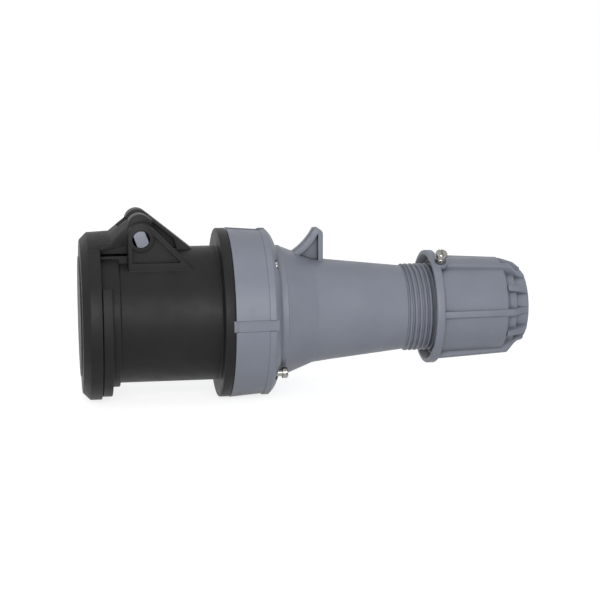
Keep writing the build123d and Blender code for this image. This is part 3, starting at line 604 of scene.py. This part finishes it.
# Two tones, roughness, grain and gloss
PLASTICS = {
    "black_plastic": ((0.0142, 0.0142, 0.0144), (0.0180, 0.0180, 0.0182), 0.46, 0.035, 0.15),
    "grey_plastic": ((0.208, 0.223, 0.268), (0.226, 0.241, 0.287), 0.42, 0.03, 0.32),
    "carrier_plastic": ((0.085, 0.085, 0.09), (0.10, 0.10, 0.105), 0.55, 0.03, 0.3),
    "rubber": ((0.018, 0.018, 0.018), (0.024, 0.024, 0.024), 0.7, 0.06, 0.3),
}
# Two tones and roughness
METALS = {
    "brass": ((0.78, 0.60, 0.30), (0.70, 0.52, 0.25), 0.28),
    "steel": ((0.34, 0.33, 0.31), (0.26, 0.25, 0.24), 0.16),
    "spring_steel": ((0.52, 0.51, 0.50), (0.42, 0.41, 0.40), 0.30),
}
PAINTS = {name: plastic(name, *look) for name, look in PLASTICS.items()}
PAINTS |= {name: metal(name, *look) for name, look in METALS.items()}

for row in frame["record"]["subparts"]:
    node = frame["nodes"][row["node"]]
    node.data.materials.clear()
    node.data.materials.append(PAINTS[row["material_slot"]])


# Socket shell: the tube with its mouth ring, flange, seal groove and carrier ledge
SCREW_SPOTS = [polar(SCREW_CIRCLE_R, 45 + 90 * i) for i in range(4)]

tube = revolved("tube", softened([
    (0, SHELL_BORE_R),
    (0, MOUTH_RING_R),
    (MOUTH_RING_END, MOUTH_RING_R),
    (MOUTH_RING_END, SHELL_R),
    (FLANGE_X, SHELL_R),
    (FLANGE_X, FLANGE_R),
    (SHELL_LENGTH, FLANGE_R),
    (SHELL_LENGTH, SEAL_OUTER_R),
    (SHELL_LENGTH - SEAL_DEPTH, SEAL_OUTER_R),
    (SHELL_LENGTH - SEAL_DEPTH, SEAL_INNER_R),
    (SHELL_LENGTH, SEAL_INNER_R),
    (SHELL_LENGTH, SHELL_BORE_R),
    (CARRIER_SEAT_X, SHELL_BORE_R),
    (CARRIER_SEAT_X, CARRIER_BORE_R),
    (LEDGE_X, CARRIER_BORE_R),
    (LEDGE_X, SHELL_BORE_R),
], radii={0: 0.6, 1: 0.8, 2: 0.8, 3: 0.6, 4: 1.2, 5: 1.2, 6: 1.2}))
keyway = block(
    "keyway",
    (-OVER, LEDGE_X),
    (-KEYWAY_WIDTH / 2, KEYWAY_WIDTH / 2),
    (-SHELL_BORE_R - KEYWAY_DEPTH, -KEYWAY_TOP),
)
inserts = [
    axial_rod(SHELL_LENGTH - INSERT_LENGTH, SHELL_LENGTH + OVER, INSERT_R, y, z, steps=24)
    for y, z in SCREW_SPOTS
]
notch_low = FLANGE_R - TAB_HEIGHT - TAB_GAP
notch_xs = (SHELL_LENGTH - TAB_REACH - TAB_GAP, NOTCH_REAR)
notch_half = GROOVE_WIDTH / 2 + TAB_GAP
notch_width = (-notch_half, notch_half)
notches = []
for side in (-1, 1):
    notch_span = span(side, notch_low, NOTCH_TOP)
    notches.append(block("notch", notch_xs, notch_width, notch_span))
    notches.append(block("notch", notch_xs, notch_span, notch_width))
carved(tube, keyway, *inserts, *notches)

bayonet = revolved("bayonet", softened([
    (BAYONET_START, MOUTH_RING_R - OVER),
    (BAYONET_START, BAYONET_R),
    (BAYONET_END, BAYONET_R),
    (BAYONET_END, MOUTH_RING_R - OVER),
], radii={1: 0.7, 2: 0.7}), steps=96, start=90 - BAYONET_GAP_ANGLE, end=270 + BAYONET_GAP_ANGLE)


def tube_core():
    """The inside of the tube, which cuts the feet of what stands on it."""
    return axial_rod(0, SHELL_LENGTH, SHELL_R - FOOT_DEPTH, steps=ROUND_STEPS)


# Hinge ears, each with a sunk triangular panel and a boss round the pin's head
arch = (PIN[0], PIN[1] + EAR_ARCH_RISE)
arch_end = polar(EAR_ARCH_R, 90 - EAR_DIAGONAL, arch)
ear_front = arch[0] - EAR_ARCH_R
ear_low = math.sqrt(SHELL_R**2 - EAR_OUTER_Y**2) - EAR_SUNK
ear_slope = math.tan(math.radians(EAR_DIAGONAL))
ear_outline = arc(arch, EAR_ARCH_R, 180, 90 - EAR_DIAGONAL, steps=20)
ear_outline += [(arch_end[0] + (arch_end[1] - ear_low) / ear_slope, ear_low), (ear_front, ear_low)]
panel_low = ear_low + EAR_SUNK + EAR_SILL
panel_front = ear_front + EAR_RIB
panel_top = (
    arch_end[0] - EAR_RIB * math.sin(math.radians(EAR_DIAGONAL)),
    arch_end[1] - EAR_RIB * math.cos(math.radians(EAR_DIAGONAL)),
)
panel_outline = softened([
    (panel_front, arch[1]),
    (panel_top[0] - EAR_RIB, panel_top[1]),
    panel_top,
    (panel_top[0] + (panel_top[1] - panel_low) / ear_slope, panel_low),
    (panel_front, panel_low),
], radii=0.8)
shell_parts = [tube, bayonet]
for side in (-1, 1):
    ear = prism("ear", ear_outline, *span(side, EAR_INNER_Y, EAR_OUTER_Y))
    panel_span = span(side, EAR_OUTER_Y - EAR_PANEL_DEPTH, EAR_OUTER_Y + OVER)
    carved(
        edged(ear, width=0.7, segments=3),
        tube_core(),
        prism("panel", panel_outline, *panel_span),
        cross_rod(-THROUGH, THROUGH, PIN_HEAD_BORE_R),
    )
    boss_span = span(side, EAR_INNER_Y + BOSS_STEP, EAR_OUTER_Y + BOSS_STEP)
    boss = edged(cross_rod(*boss_span, PIN_HEAD_BORE_R + EAR_BOSS_WALL), width=0.5)
    carved(boss, cross_rod(-THROUGH, THROUGH, PIN_HEAD_BORE_R))
    shell_parts += [ear, boss]

# The bridge between the ears, under the lid's arm
bridge_top = PIN[1] - ARM_UNDER - BRIDGE_GAP
bridge_half = EAR_INNER_Y + BRIDGE_SUNK
bridge = prism("bridge", [
    (BAYONET_START, FOOT_Z),
    (BAYONET_START, bridge_top),
    (PIN[0] + RIDGE_FRONT, bridge_top),
    (PIN[0] + 2 * RIDGE_FRONT, FOOT_Z),
], -bridge_half, bridge_half)
shell_parts.append(carved(bridge, tube_core()))


def on_ridge(x, below=0.0):
    """The point at x on the ridge's top line, or a distance below it."""
    rise = (PIN[0] + RIDGE_FOOT - x) * math.tan(math.radians(RIDGE_DROP))
    return (x, SHELL_R - below + rise)


# The ridge, whose hood stands in the slot of the lid's knuckle, with a recess in each side
ridge_end = PIN[0] + RIDGE_FOOT + RIDGE_SUNK
hood_tip = PIN[0] + HOOD_TIP
hood = edged(prism("hood", [
    on_ridge(hood_tip),
    *arc(PIN, HOOD_UNDER_R, HOOD_UNDER_ANGLE, -HOOD_UNDER_ANGLE, steps=20),
    (hood_tip, FOOT_Z),
    (ridge_end, FOOT_Z),
    on_ridge(ridge_end),
], -HOOD_HALF, HOOD_HALF), width=0.5, segments=3, angle=25)
recess_outline = [
    on_ridge(hood_tip + RECESS_TOP, below=RECESS_RIM),
    on_ridge(HOOD_END - RECESS_REAR, below=RECESS_RIM),
    (HOOD_END, SHELL_R),
    (hood_tip + RECESS_FOOT, SHELL_R),
    (hood_tip + RECESS_NOSE[0], PIN[1] + RECESS_NOSE[1]),
]
recesses = [
    prism("recess", recess_outline, *span(side, HOOD_HALF - RECESS_DEPTH, RECESS_OUT))
    for side in (-1, 1)
]
shell_parts.append(carved(hood, tube_core(), *recesses))
dressed(joined("socket_shell_body", shell_parts), "coupler", "black_plastic", "socket_shell")


# Lid: the plate with its raised disc and rim
plate_outer_x = PLATE_INNER_X - LID_WALL
plate = revolved("plate", softened([
    (plate_outer_x - DISC_HEIGHT, 0),
    (plate_outer_x - DISC_HEIGHT, DISC_R),
    (plate_outer_x, DISC_R + DISC_HEIGHT),
    (plate_outer_x, LID_R - LID_CHAMFER),
    (plate_outer_x + LID_CHAMFER, LID_R),
    (LID_REAR_X, LID_R),
    (LID_REAR_X, LID_R - LID_WALL),
    (PLATE_INNER_X, LID_R - LID_WALL),
    (PLATE_INNER_X, 0),
], radii={1: 0.5, 2: 0.5, 3: 1.2, 4: 1.6, 5: 0.6, 6: 0.4, 7: 0.8}))

# The arm: its side outline, cut down to a crowned top and a plan that narrows to the knuckle
arm_under_z = PIN[1] - ARM_UNDER
crown_line = arc(KNUCKLE_CROWN_CENTRE, KNUCKLE_CROWN_R, *KNUCKLE_CROWN_SPAN, steps=16)
knuckle_front = crown_line[0][0]
arm_top = [
    (ARM_FRONT, arm_under_z),
    (ARM_FRONT, ARM_BLANK_TOP),
    (knuckle_front, ARM_BLANK_TOP),
    *crown_line,
]
heel = len(arm_top)
arm_outline = softened([
    *arm_top,
    polar(KNUCKLE_HEEL_R, KNUCKLE_HEEL_ANGLE, PIN),
    polar(KNUCKLE_HUB_R, KNUCKLE_HEEL_ANGLE, PIN),
    *arc(PIN, PIN_R + PIN_CLEARANCE, KNUCKLE_HEEL_ANGLE, 270, steps=24),
    (PIN[0], PIN[1] - KNUCKLE_HUB_R),
    (PIN[0] - KNUCKLE_HUB_R, arm_under_z),
], radii={heel: 1.2, heel + 1: 1.0}, steps=8)
arm_side = [
    (ARM_FRONT - OVER, ARM_HALF),
    (ARM_FLARE_START, ARM_HALF),
    (ARM_FLARE_END, KNUCKLE_HALF),
    (SHELL_LENGTH, KNUCKLE_HALF),
]
arm_plan = arm_side + [(x, -y) for x, y in reversed(arm_side)]
arm_crown = revolved("crown", [
    (ARM_FRONT - OVER, 0),
    (ARM_FRONT - OVER, ARM_CROWN[0][1] - OVER),
    *ARM_CROWN,
    (knuckle_front, ARM_CROWN_R),
    (knuckle_front, ARM_CUT_TOP),
    (SHELL_LENGTH, ARM_CUT_TOP),
    (SHELL_LENGTH, 0),
])
arm = carved(
    prism("arm", arm_outline, -ARM_HALF, ARM_HALF),
    arm_crown,
    prism("plan", arm_plan, 0, ARM_CUT_TOP, along="Z"),
    operation="INTERSECT",
)
skirt = axial_rod(ARM_FRONT - 2 * OVER, SHELL_LENGTH, SKIRT_R, steps=ROUND_STEPS)
carved(skirt, block(
    "inside",
    (ARM_FRONT - 3 * OVER, SHELL_LENGTH + OVER),
    (-KNUCKLE_HALF, KNUCKLE_HALF),
    (-ARM_CUT_TOP, ARM_CUT_TOP),
))
slot_front = polar(SLOT_REACH, SLOT_ANGLE, PIN)
slot_inset = KNUCKLE_HUB_R + SLOT_GAP
slot_low = arm_under_z - OVER
slot_outline = [
    (PIN[0] - slot_inset, PIN[1] + slot_inset * math.tan(math.radians(180 - SLOT_ANGLE))),
    slot_front,
    (slot_front[0], ARM_CUT_TOP),
    (PIN[0] + RIDGE_FRONT, ARM_CUT_TOP),
    (PIN[0] + RIDGE_FRONT, slot_low),
    (PIN[0] - slot_inset, slot_low),
]
carved(
    arm,
    skirt,
    axial_rod(PLATE_INNER_X - OVER, PIN[0], ARM_UNDER_R, steps=ROUND_STEPS),
    prism("slot", slot_outline, -SLOT_HALF, SLOT_HALF),
)
edged(arm, width=0.7, angle=40)
lid_parts = [plate, arm]
for side in (-1, 1):
    hub = edged(cross_rod(*span(side, SLOT_HALF, KNUCKLE_HALF), KNUCKLE_HUB_R), width=0.5)
    lid_parts.append(carved(hub, cross_rod(-THROUGH, THROUGH, PIN_R + PIN_CLEARANCE)))
dressed(joined("lid_body", lid_parts), "lid", "black_plastic", "lid")


# Hinge pin: a bar with two flats, thicker where it sits in the ears
def flatted(radius, flats, low_y, high_y):
    """A bar along the hinge with two flats a given width apart."""
    half_flat = math.degrees(math.acos(flats / 2 / radius))
    outline = []
    for lean in (PIN_LEAN, PIN_LEAN + 180):
        outline += arc(PIN, radius, lean + half_flat, lean + 180 - half_flat, steps=20)
    return edged(prism("pin", outline, low_y, high_y), width=0.5, segments=3)


pin_half = EAR_OUTER_Y - PIN_INSET
pin_parts = [flatted(PIN_R, PIN_FLATS, -pin_half, pin_half)]
for side in (-1, 1):
    head_span = span(side, EAR_INNER_Y + PIN_INSET, EAR_OUTER_Y)
    pin_parts.append(flatted(PIN_HEAD_R, PIN_HEAD_FLATS, *head_span))
dressed(joined("hinge_pin_body", pin_parts), "coupler", "grey_plastic", "hinge_pin")


# Cable housing: collar, bead, shoulder, cone and the gland spigot
collar_outline = softened([
    (SHELL_LENGTH, COLLAR_BORE_R),
    (SHELL_LENGTH, COLLAR_FRONT_R),
    (BEAD_START, COLLAR_REAR_R),
    (BEAD_START, BEAD_R),
    (BEAD_END, BEAD_R),
], radii={1: 0.8, 2: 0.25, 3: 0.6})
shoulder = three_point(
    (BEAD_END, BEAD_R),
    (BEAD_END + SHOULDER_BOW, (BEAD_R + COLLAR_TOP_R) / 2),
    (SHOULDER_X, COLLAR_TOP_R),
    steps=16,
)
wiring_wall = [
    (CONE_START, COLLAR_TOP_R - HOUSING_WALL),
    (NECK[0], NECK[1] - HOUSING_WALL),
    (TAPER[0], TAPER[1] - HOUSING_WALL),
]
cone_outline = softened([
    (CONE_START, COLLAR_TOP_R),
    (CONE_START + CONE_CHAMFER, COLLAR_TOP_R - CONE_CHAMFER),
    NECK,
    TAPER,
    *[(THREAD_START - distance, r) for distance, r in SPIGOT_STEP],
    (SPIGOT_END, THREAD_ROOT_R),
    (SPIGOT_END, BUSH_R),
    (BUSH_SEAT_X, BUSH_R),
    (BUSH_SEAT_X, CABLE_HOLE[1]),
    CABLE_HOLE,
    CABLE_FUNNEL,
    *reversed(wiring_wall),
    (BEAD_END, COLLAR_BORE_R),
], radii={0: 0.35, 1: 0.3, 2: 6.0, 3: 10.0})
housing = revolved("housing", collar_outline + shoulder[1:] + cone_outline)
groove_outline = [
    (CUT_FRONT, COLLAR_FRONT_R - GROOVE_DEPTH),
    (SHELL_LENGTH, COLLAR_FRONT_R - GROOVE_DEPTH),
    (SHOULDER_X, COLLAR_REAR_R - GROOVE_DEPTH - GROOVE_FALL),
    (SHOULDER_X, GROOVE_TOP),
    (CUT_FRONT, GROOVE_TOP),
]
tab_low = FLANGE_R - TAB_HEIGHT
tab_outline = [
    (SHELL_LENGTH - TAB_REACH, tab_low),
    (SHELL_LENGTH - TAB_REACH, FLANGE_R),
    (SHELL_LENGTH + TAB_REACH, FLANGE_R - TAB_DRAFT),
    (SHELL_LENGTH + TAB_REACH, tab_low),
]
tabs = []
for i in range(4):
    turn = Matrix.Rotation(math.radians(90 * i), 4, "X")
    groove = prism("groove", groove_outline, -GROOVE_WIDTH / 2, GROOVE_WIDTH / 2)
    groove.data.transform(turn)
    carved(housing, groove)
    tab = edged(prism("tab", tab_outline, -GROOVE_WIDTH / 2, GROOVE_WIDTH / 2), width=0.3)
    tab.data.transform(turn)
    tabs.append(tab)
for start_x, end_x, radius, steps in (
    (CUT_FRONT, SCREW_HOLE_END, SCREW_HOLE_R, 32),
    (BEAD_END, BEAD_END + SCREW_NOTCH_LENGTH, SCREW_NOTCH_R, 48),
):
    carved(housing, *[axial_rod(start_x, end_x, radius, y, z, steps) for y, z in SCREW_SPOTS])

# The hook on the cone: a thin web under a wide rim
hook_base = TAPER[1] - HOOK_SUNK
foot = (HOOK_FRONT, HOOK_TOP - HOOK_FOOT_DROP)
bend = (HOOK_FRONT + HOOK_BEND[0], HOOK_TOP - HOOK_BEND[1])
tip = (HOOK_TIP, HOOK_TOP - HOOK_TIP_DROP)
crest = (HOOK_TIP + HOOK_CREST[0], HOOK_TOP - HOOK_CREST[1])
back = (HOOK_REAR, HOOK_TOP - HOOK_REAR_DROP)
hook_line = three_point(foot, bend, tip, steps=20) + three_point(tip, crest, back, steps=8)[1:]
web_outline = hook_line + [(HOOK_REAR, hook_base), (HOOK_FRONT, hook_base)]
shift = HOOK_RIM * HOOK_RIM_SHARE
inner_line = three_point(*[(x + shift, z - shift) for x, z in (tip, bend, foot)], steps=20)
rim_rear = [
    (HOOK_REAR, hook_base),
    (HOOK_REAR - HOOK_RIM, hook_base),
    (HOOK_REAR - HOOK_RIM, tip[1] - shift),
]
rim_outline = hook_line + rim_rear + inner_line
web = prism("web", web_outline, -HOOK_WEB_HALF, HOOK_WEB_HALF)
rim = edged(prism("rim", rim_outline, -HOOK_RIM_HALF, HOOK_RIM_HALF), width=0.8, segments=3)
wiring = [(CONE_START, 0), *wiring_wall, (TAPER[0] + WIRING_FUNNEL, 0)]
for piece in (web, rim):
    carved(piece, revolved("wiring", wiring))


# The gland thread, a right-hand screw surface whose ends sink into the spigot
def thread_r(x, part_of_turn):
    """The thread's radius at x, at a part of a turn from +Z."""
    phase = (x / THREAD_PITCH - part_of_turn) % 1.0
    lift = min(max((0.5 - abs(phase - 0.5)) / THREAD_FLANK - THREAD_VALLEY, 0.0), 1.0)
    lift = lift * lift * (3 - 2 * lift)
    return THREAD_ROOT_R + (THREAD_CREST_R - THREAD_ROOT_R) * lift


def ring(x, radii):
    """A circle of points about the axis, one for each radius."""
    turns = [2 * math.pi * k / len(radii) for k in range(len(radii))]
    return [(x, -r * math.sin(turn), r * math.cos(turn)) for r, turn in zip(radii, turns)]


rows = int((THREAD_END - THREAD_START) / THREAD_PITCH * THREAD_ROWS)
sunk_r = THREAD_ROOT_R - THREAD_SUNK
verts = []
for i in range(rows + 1):
    x = THREAD_START + (THREAD_END - THREAD_START) * i / rows
    if i in (0, rows):
        verts += ring(x, [sunk_r] * THREAD_COLUMNS)
    else:
        verts += ring(x, [thread_r(x, k / THREAD_COLUMNS) for k in range(THREAD_COLUMNS)])
for x in (THREAD_END, THREAD_START):
    verts += ring(x, [THREAD_CORE_R] * THREAD_COLUMNS)
ring_count = rows + 3
faces = []
for i in range(ring_count):
    a, b = i * THREAD_COLUMNS, (i + 1) % ring_count * THREAD_COLUMNS
    for k in range(THREAD_COLUMNS):
        j = (k + 1) % THREAD_COLUMNS
        faces.append((a + k, a + j, b + j, b + k))
thread = mesh_object("thread", verts, faces)
housing_parts = [housing, web, rim, thread, *tabs]
dressed(joined("cable_housing_body", housing_parts), "coupler", "grey_plastic", "cable_housing")


# Housing screws: slotted cylinder heads that stand clear of the housing
screws = []
for y, z in SCREW_SPOTS:
    seat = UPPER_SEAT_X if z > 0 else LOWER_SEAT_X
    end = seat + SCREW_HEAD[-1][0]
    screw = turned("screw", (seat, y, z), (1, 0, 0), [
        (SHELL_LENGTH - INSERT_LENGTH - seat, SCREW_SHANK_R),
        (0, SCREW_SHANK_R),
        *SCREW_HEAD,
    ], steps=48)
    slit = block(
        "slit",
        (end - SCREW_SLIT_DEPTH, end + OVER),
        (y - SCREW_SLIT_REACH, y + SCREW_SLIT_REACH),
        (z - SCREW_SLIT_HALF, z + SCREW_SLIT_HALF),
    )
    screws.append(carved(screw, slit))
dressed(joined("housing_screws_body", screws), "coupler", "steel", "housing_screws")


# Gland nut: rim, tapering body, slope, step and end ring
nut = revolved("nut", softened([
    (NUT_FRONT, NUT_MOUTH_R),
    (NUT_FRONT, NUT_RIM_R),
    (NUT_FRONT + NUT_RIM_LENGTH, NUT_RIM_R),
    (NUT_FRONT + NUT_RIM_LENGTH, NUT_BODY_FRONT_R),
    (NUT_BODY_END, NUT_BODY_REAR_R),
    (NUT_BODY_END + NUT_SLOPE, NUT_STEP_R),
    (NUT_STEP_X, NUT_STEP_R),
    (NUT_STEP_X, NUT_RING_R),
    (NUT_END, NUT_RING_R),
    (NUT_END, NUT_EXIT_R),
    (NUT_LIP_X, NUT_EXIT_R),
    (NUT_LIP_X, NUT_SLEEVE_R),
    (NUT_FRONT + NUT_BORE_LENGTH, NUT_SLEEVE_R),
    (NUT_FRONT + NUT_BORE_LENGTH, NUT_BORE_R),
    *[(NUT_FRONT + distance, r) for distance, r in NUT_LEAD_IN],
], radii={0: 0.5, 1: 1.3, 2: 1.5, 3: 0.8, 4: 1.2, 5: 1.0, 6: 0.5, 8: 1.2, 9: 0.6}))

# Long ribs from the rim and short ones on the slope, in turn, from outlines of (x, r) points
rib_front = NUT_FRONT + LONG_RIB_FRONT
rib_inner_x = NUT_FRONT + NUT_BORE_LENGTH + OVER
rib_sleeve_r = NUT_SLEEVE_R + OVER
rib_exit_r = NUT_EXIT_R + OVER
rib_lip_x = NUT_LIP_X + OVER
long_top = zip((rib_front, RIB_SHOULDER_X, RIB_WAIST_X), LONG_RIB_TOP_R)
short_top = zip((SHORT_RIB_X, RIB_SHOULDER_X, RIB_WAIST_X), SHORT_RIB_TOP_R)
rib_end = [
    (RIB_END_X, RIB_END_R),
    (RIB_END_X, rib_exit_r),
    (rib_lip_x, rib_exit_r),
    (rib_lip_x, rib_sleeve_r),
]
rib_root = [(rib_inner_x, rib_sleeve_r), (rib_inner_x, RIB_ROOT_R)]
rib_outlines = (
    [(rib_front, RIB_ROOT_R), *long_top, *rib_end, *rib_root],
    [(SHORT_RIB_X, rib_sleeve_r), *short_top, *rib_end],
)
nut_parts = [nut]
for i in range(RIB_COUNT):
    rib = edged(prism("rib", rib_outlines[i % 2], -RIB_HALF, RIB_HALF), width=0.6, segments=3)
    rib.data.transform(Matrix.Rotation(math.radians(90 + 360 / RIB_COUNT * i), 4, "X"))
    nut_parts.append(rib)

lock_turn = math.radians(LOCK_ANGLE)
lock_axis = (0, -math.cos(lock_turn), math.sin(lock_turn))


def lock_rod(outline):
    """A bar on the lock screw's axis, from (distance from the nut's axis, radius) points."""
    low = outline[0][0]
    start = (LOCK_X, lock_axis[1] * low, lock_axis[2] * low)
    return turned("lock", start, lock_axis, [(far - low, r) for far, r in outline], steps=48)


lock_boss = lock_rod([(far, LOCK_BOSS_R) for far in LOCK_BOSS_SPAN])
edged(lock_boss, width=0.5, segments=3)
for piece in (nut, lock_boss):
    carved(piece, lock_rod([(far, LOCK_HOLE_R) for far in LOCK_HOLE_SPAN]))
nut_parts.append(lock_boss)
dressed(joined("gland_nut_body", nut_parts), "gland_nut", "grey_plastic", "gland_nut")


# Lock screw: a shank, a collar, a groove and a slotted head
lock = lock_rod(LOCK_SCREW)
slit = block(
    "slit",
    (-LOCK_SLIT_HALF, LOCK_SLIT_HALF),
    (-LOCK_SLIT_REACH, LOCK_SLIT_REACH),
    LOCK_SLIT_SPAN,
)
slit.data.transform(Matrix.Rotation(math.radians(90 - LOCK_ANGLE), 4, "X"))
slit.data.transform(Matrix.Translation((LOCK_X * MM, 0, 0)))
carved(lock, slit)
dressed(joined("lock_screw_body", [lock]), "gland_nut", "steel", "lock_screw")


# Camera, at the photograph's distance, height and framing
FOCAL_PX = 1597.0
FRAME_PX = 600
SENSOR_WIDTH = 36.0
AZIMUTH = math.radians(-9.4)
ELEVATION = math.radians(9.7)
DISTANCE = 1.150
TARGET = Vector((153.5, 0.0, 0.0)) * MM
TARGET_PX = (4.0, 9.7)

towards = Vector((
    math.sin(AZIMUTH) * math.cos(ELEVATION),
    -math.cos(AZIMUTH) * math.cos(ELEVATION),
    math.sin(ELEVATION),
))
right = Vector((math.cos(AZIMUTH), math.sin(AZIMUTH), 0.0))
up = towards.cross(right)
px_size = DISTANCE / FOCAL_PX
camera_data = bpy.data.cameras.new("camera")
camera_data.sensor_width = SENSOR_WIDTH
camera_data.lens = SENSOR_WIDTH * FOCAL_PX / FRAME_PX
camera = bpy.data.objects.new("camera", camera_data)
camera.location = (
    TARGET + towards * DISTANCE
    - right * TARGET_PX[0] * px_size
    + up * TARGET_PX[1] * px_size
)
camera.rotation_euler = Matrix((right, up, towards)).transposed().to_euler()
bpy.context.collection.objects.link(camera)
bpy.context.scene.camera = camera


# Floor and world: white where the picture or a reflection shows them, dimmer as light
FLOOR_Z = -60.6
FLOOR_REACH = 6.0
FLOOR_GREY = 0.62
FLOOR_ROUGHNESS = 0.95
FLOOR_GLOSS = 0.1
FLOOR_WHITENING = 0.78
WORLD_TINT = (0.93, 0.96, 1, 1)
WORLD_STRENGTH = 0.33
WHITE = (1, 1, 1, 1)


def any_ray(nodes, links, *kinds):
    """1 for a ray of one of these kinds, else 0."""
    rays = nodes.new("ShaderNodeLightPath")
    found = rays.outputs[f"Is {kinds[0]} Ray"]
    for kind in kinds[1:]:
        either = nodes.new("ShaderNodeMath")
        either.operation = "MAXIMUM"
        links.new(found, either.inputs[0])
        links.new(rays.outputs[f"Is {kind} Ray"], either.inputs[1])
        found = either.outputs[0]
    return found


floor_corners = [(-1, -1), (1, -1), (1, 1), (-1, 1)]
floor_data = bpy.data.meshes.new("floor")
floor_data.from_pydata(
    [(x * FLOOR_REACH, y * FLOOR_REACH, FLOOR_Z * MM) for x, y in floor_corners],
    [],
    [(0, 1, 2, 3)],
)
floor = bpy.data.objects.new("floor", floor_data)
bpy.context.collection.objects.link(floor)
paper, nodes, links, shader = material("paper")
shader.inputs["Base Color"].default_value = (FLOOR_GREY, FLOOR_GREY, FLOOR_GREY, 1)
shader.inputs["Roughness"].default_value = FLOOR_ROUGHNESS
shader.inputs["Specular IOR Level"].default_value = FLOOR_GLOSS
shader.inputs["Emission Color"].default_value = WHITE
whitening = nodes.new("ShaderNodeMath")
whitening.operation = "MULTIPLY"
whitening.inputs[1].default_value = FLOOR_WHITENING
links.new(any_ray(nodes, links, "Camera", "Glossy"), whitening.inputs[0])
links.new(whitening.outputs[0], shader.inputs["Emission Strength"])
floor.data.materials.append(paper)

world = bpy.data.worlds.new("studio")
bpy.context.scene.world = world
world.use_nodes = True
nodes = world.node_tree.nodes
links = world.node_tree.links
nodes.clear()
out = nodes.new("ShaderNodeOutputWorld")
seen = nodes.new("ShaderNodeBackground")
seen.inputs["Color"].default_value = WHITE
glow = nodes.new("ShaderNodeBackground")
glow.inputs["Color"].default_value = WORLD_TINT
glow.inputs["Strength"].default_value = WORLD_STRENGTH
pick = nodes.new("ShaderNodeMixShader")
links.new(any_ray(nodes, links, "Camera", "Transmission", "Glossy"), pick.inputs["Fac"])
links.new(glow.outputs[0], pick.inputs[1])
links.new(seen.outputs[0], pick.inputs[2])
links.new(pick.outputs[0], out.inputs[0])


# Area lamps: place and size in metres, power in watts
LAMPS = {
    "key": ((-0.05, -1.45, 0.42), (0.9, 0.7), 14),
    "side": ((-1.2, -0.7, 0.5), (0.6, 0.6), 1.5),
    "top": ((0.25, -0.25, 1.4), (1.2, 0.6), 2.0),
}
for name, (spot, size, power) in LAMPS.items():
    lamp_data = bpy.data.lights.new(name, "AREA")
    lamp_data.shape = "RECTANGLE"
    lamp_data.size, lamp_data.size_y = size
    lamp_data.energy = power
    lamp = bpy.data.objects.new(name, lamp_data)
    lamp.location = spot
    lamp.rotation_euler = (Vector(spot) - TARGET).to_track_quat("Z", "Y").to_euler()
    bpy.context.collection.objects.link(lamp)

bpy.context.scene.view_settings.view_transform = "Standard"
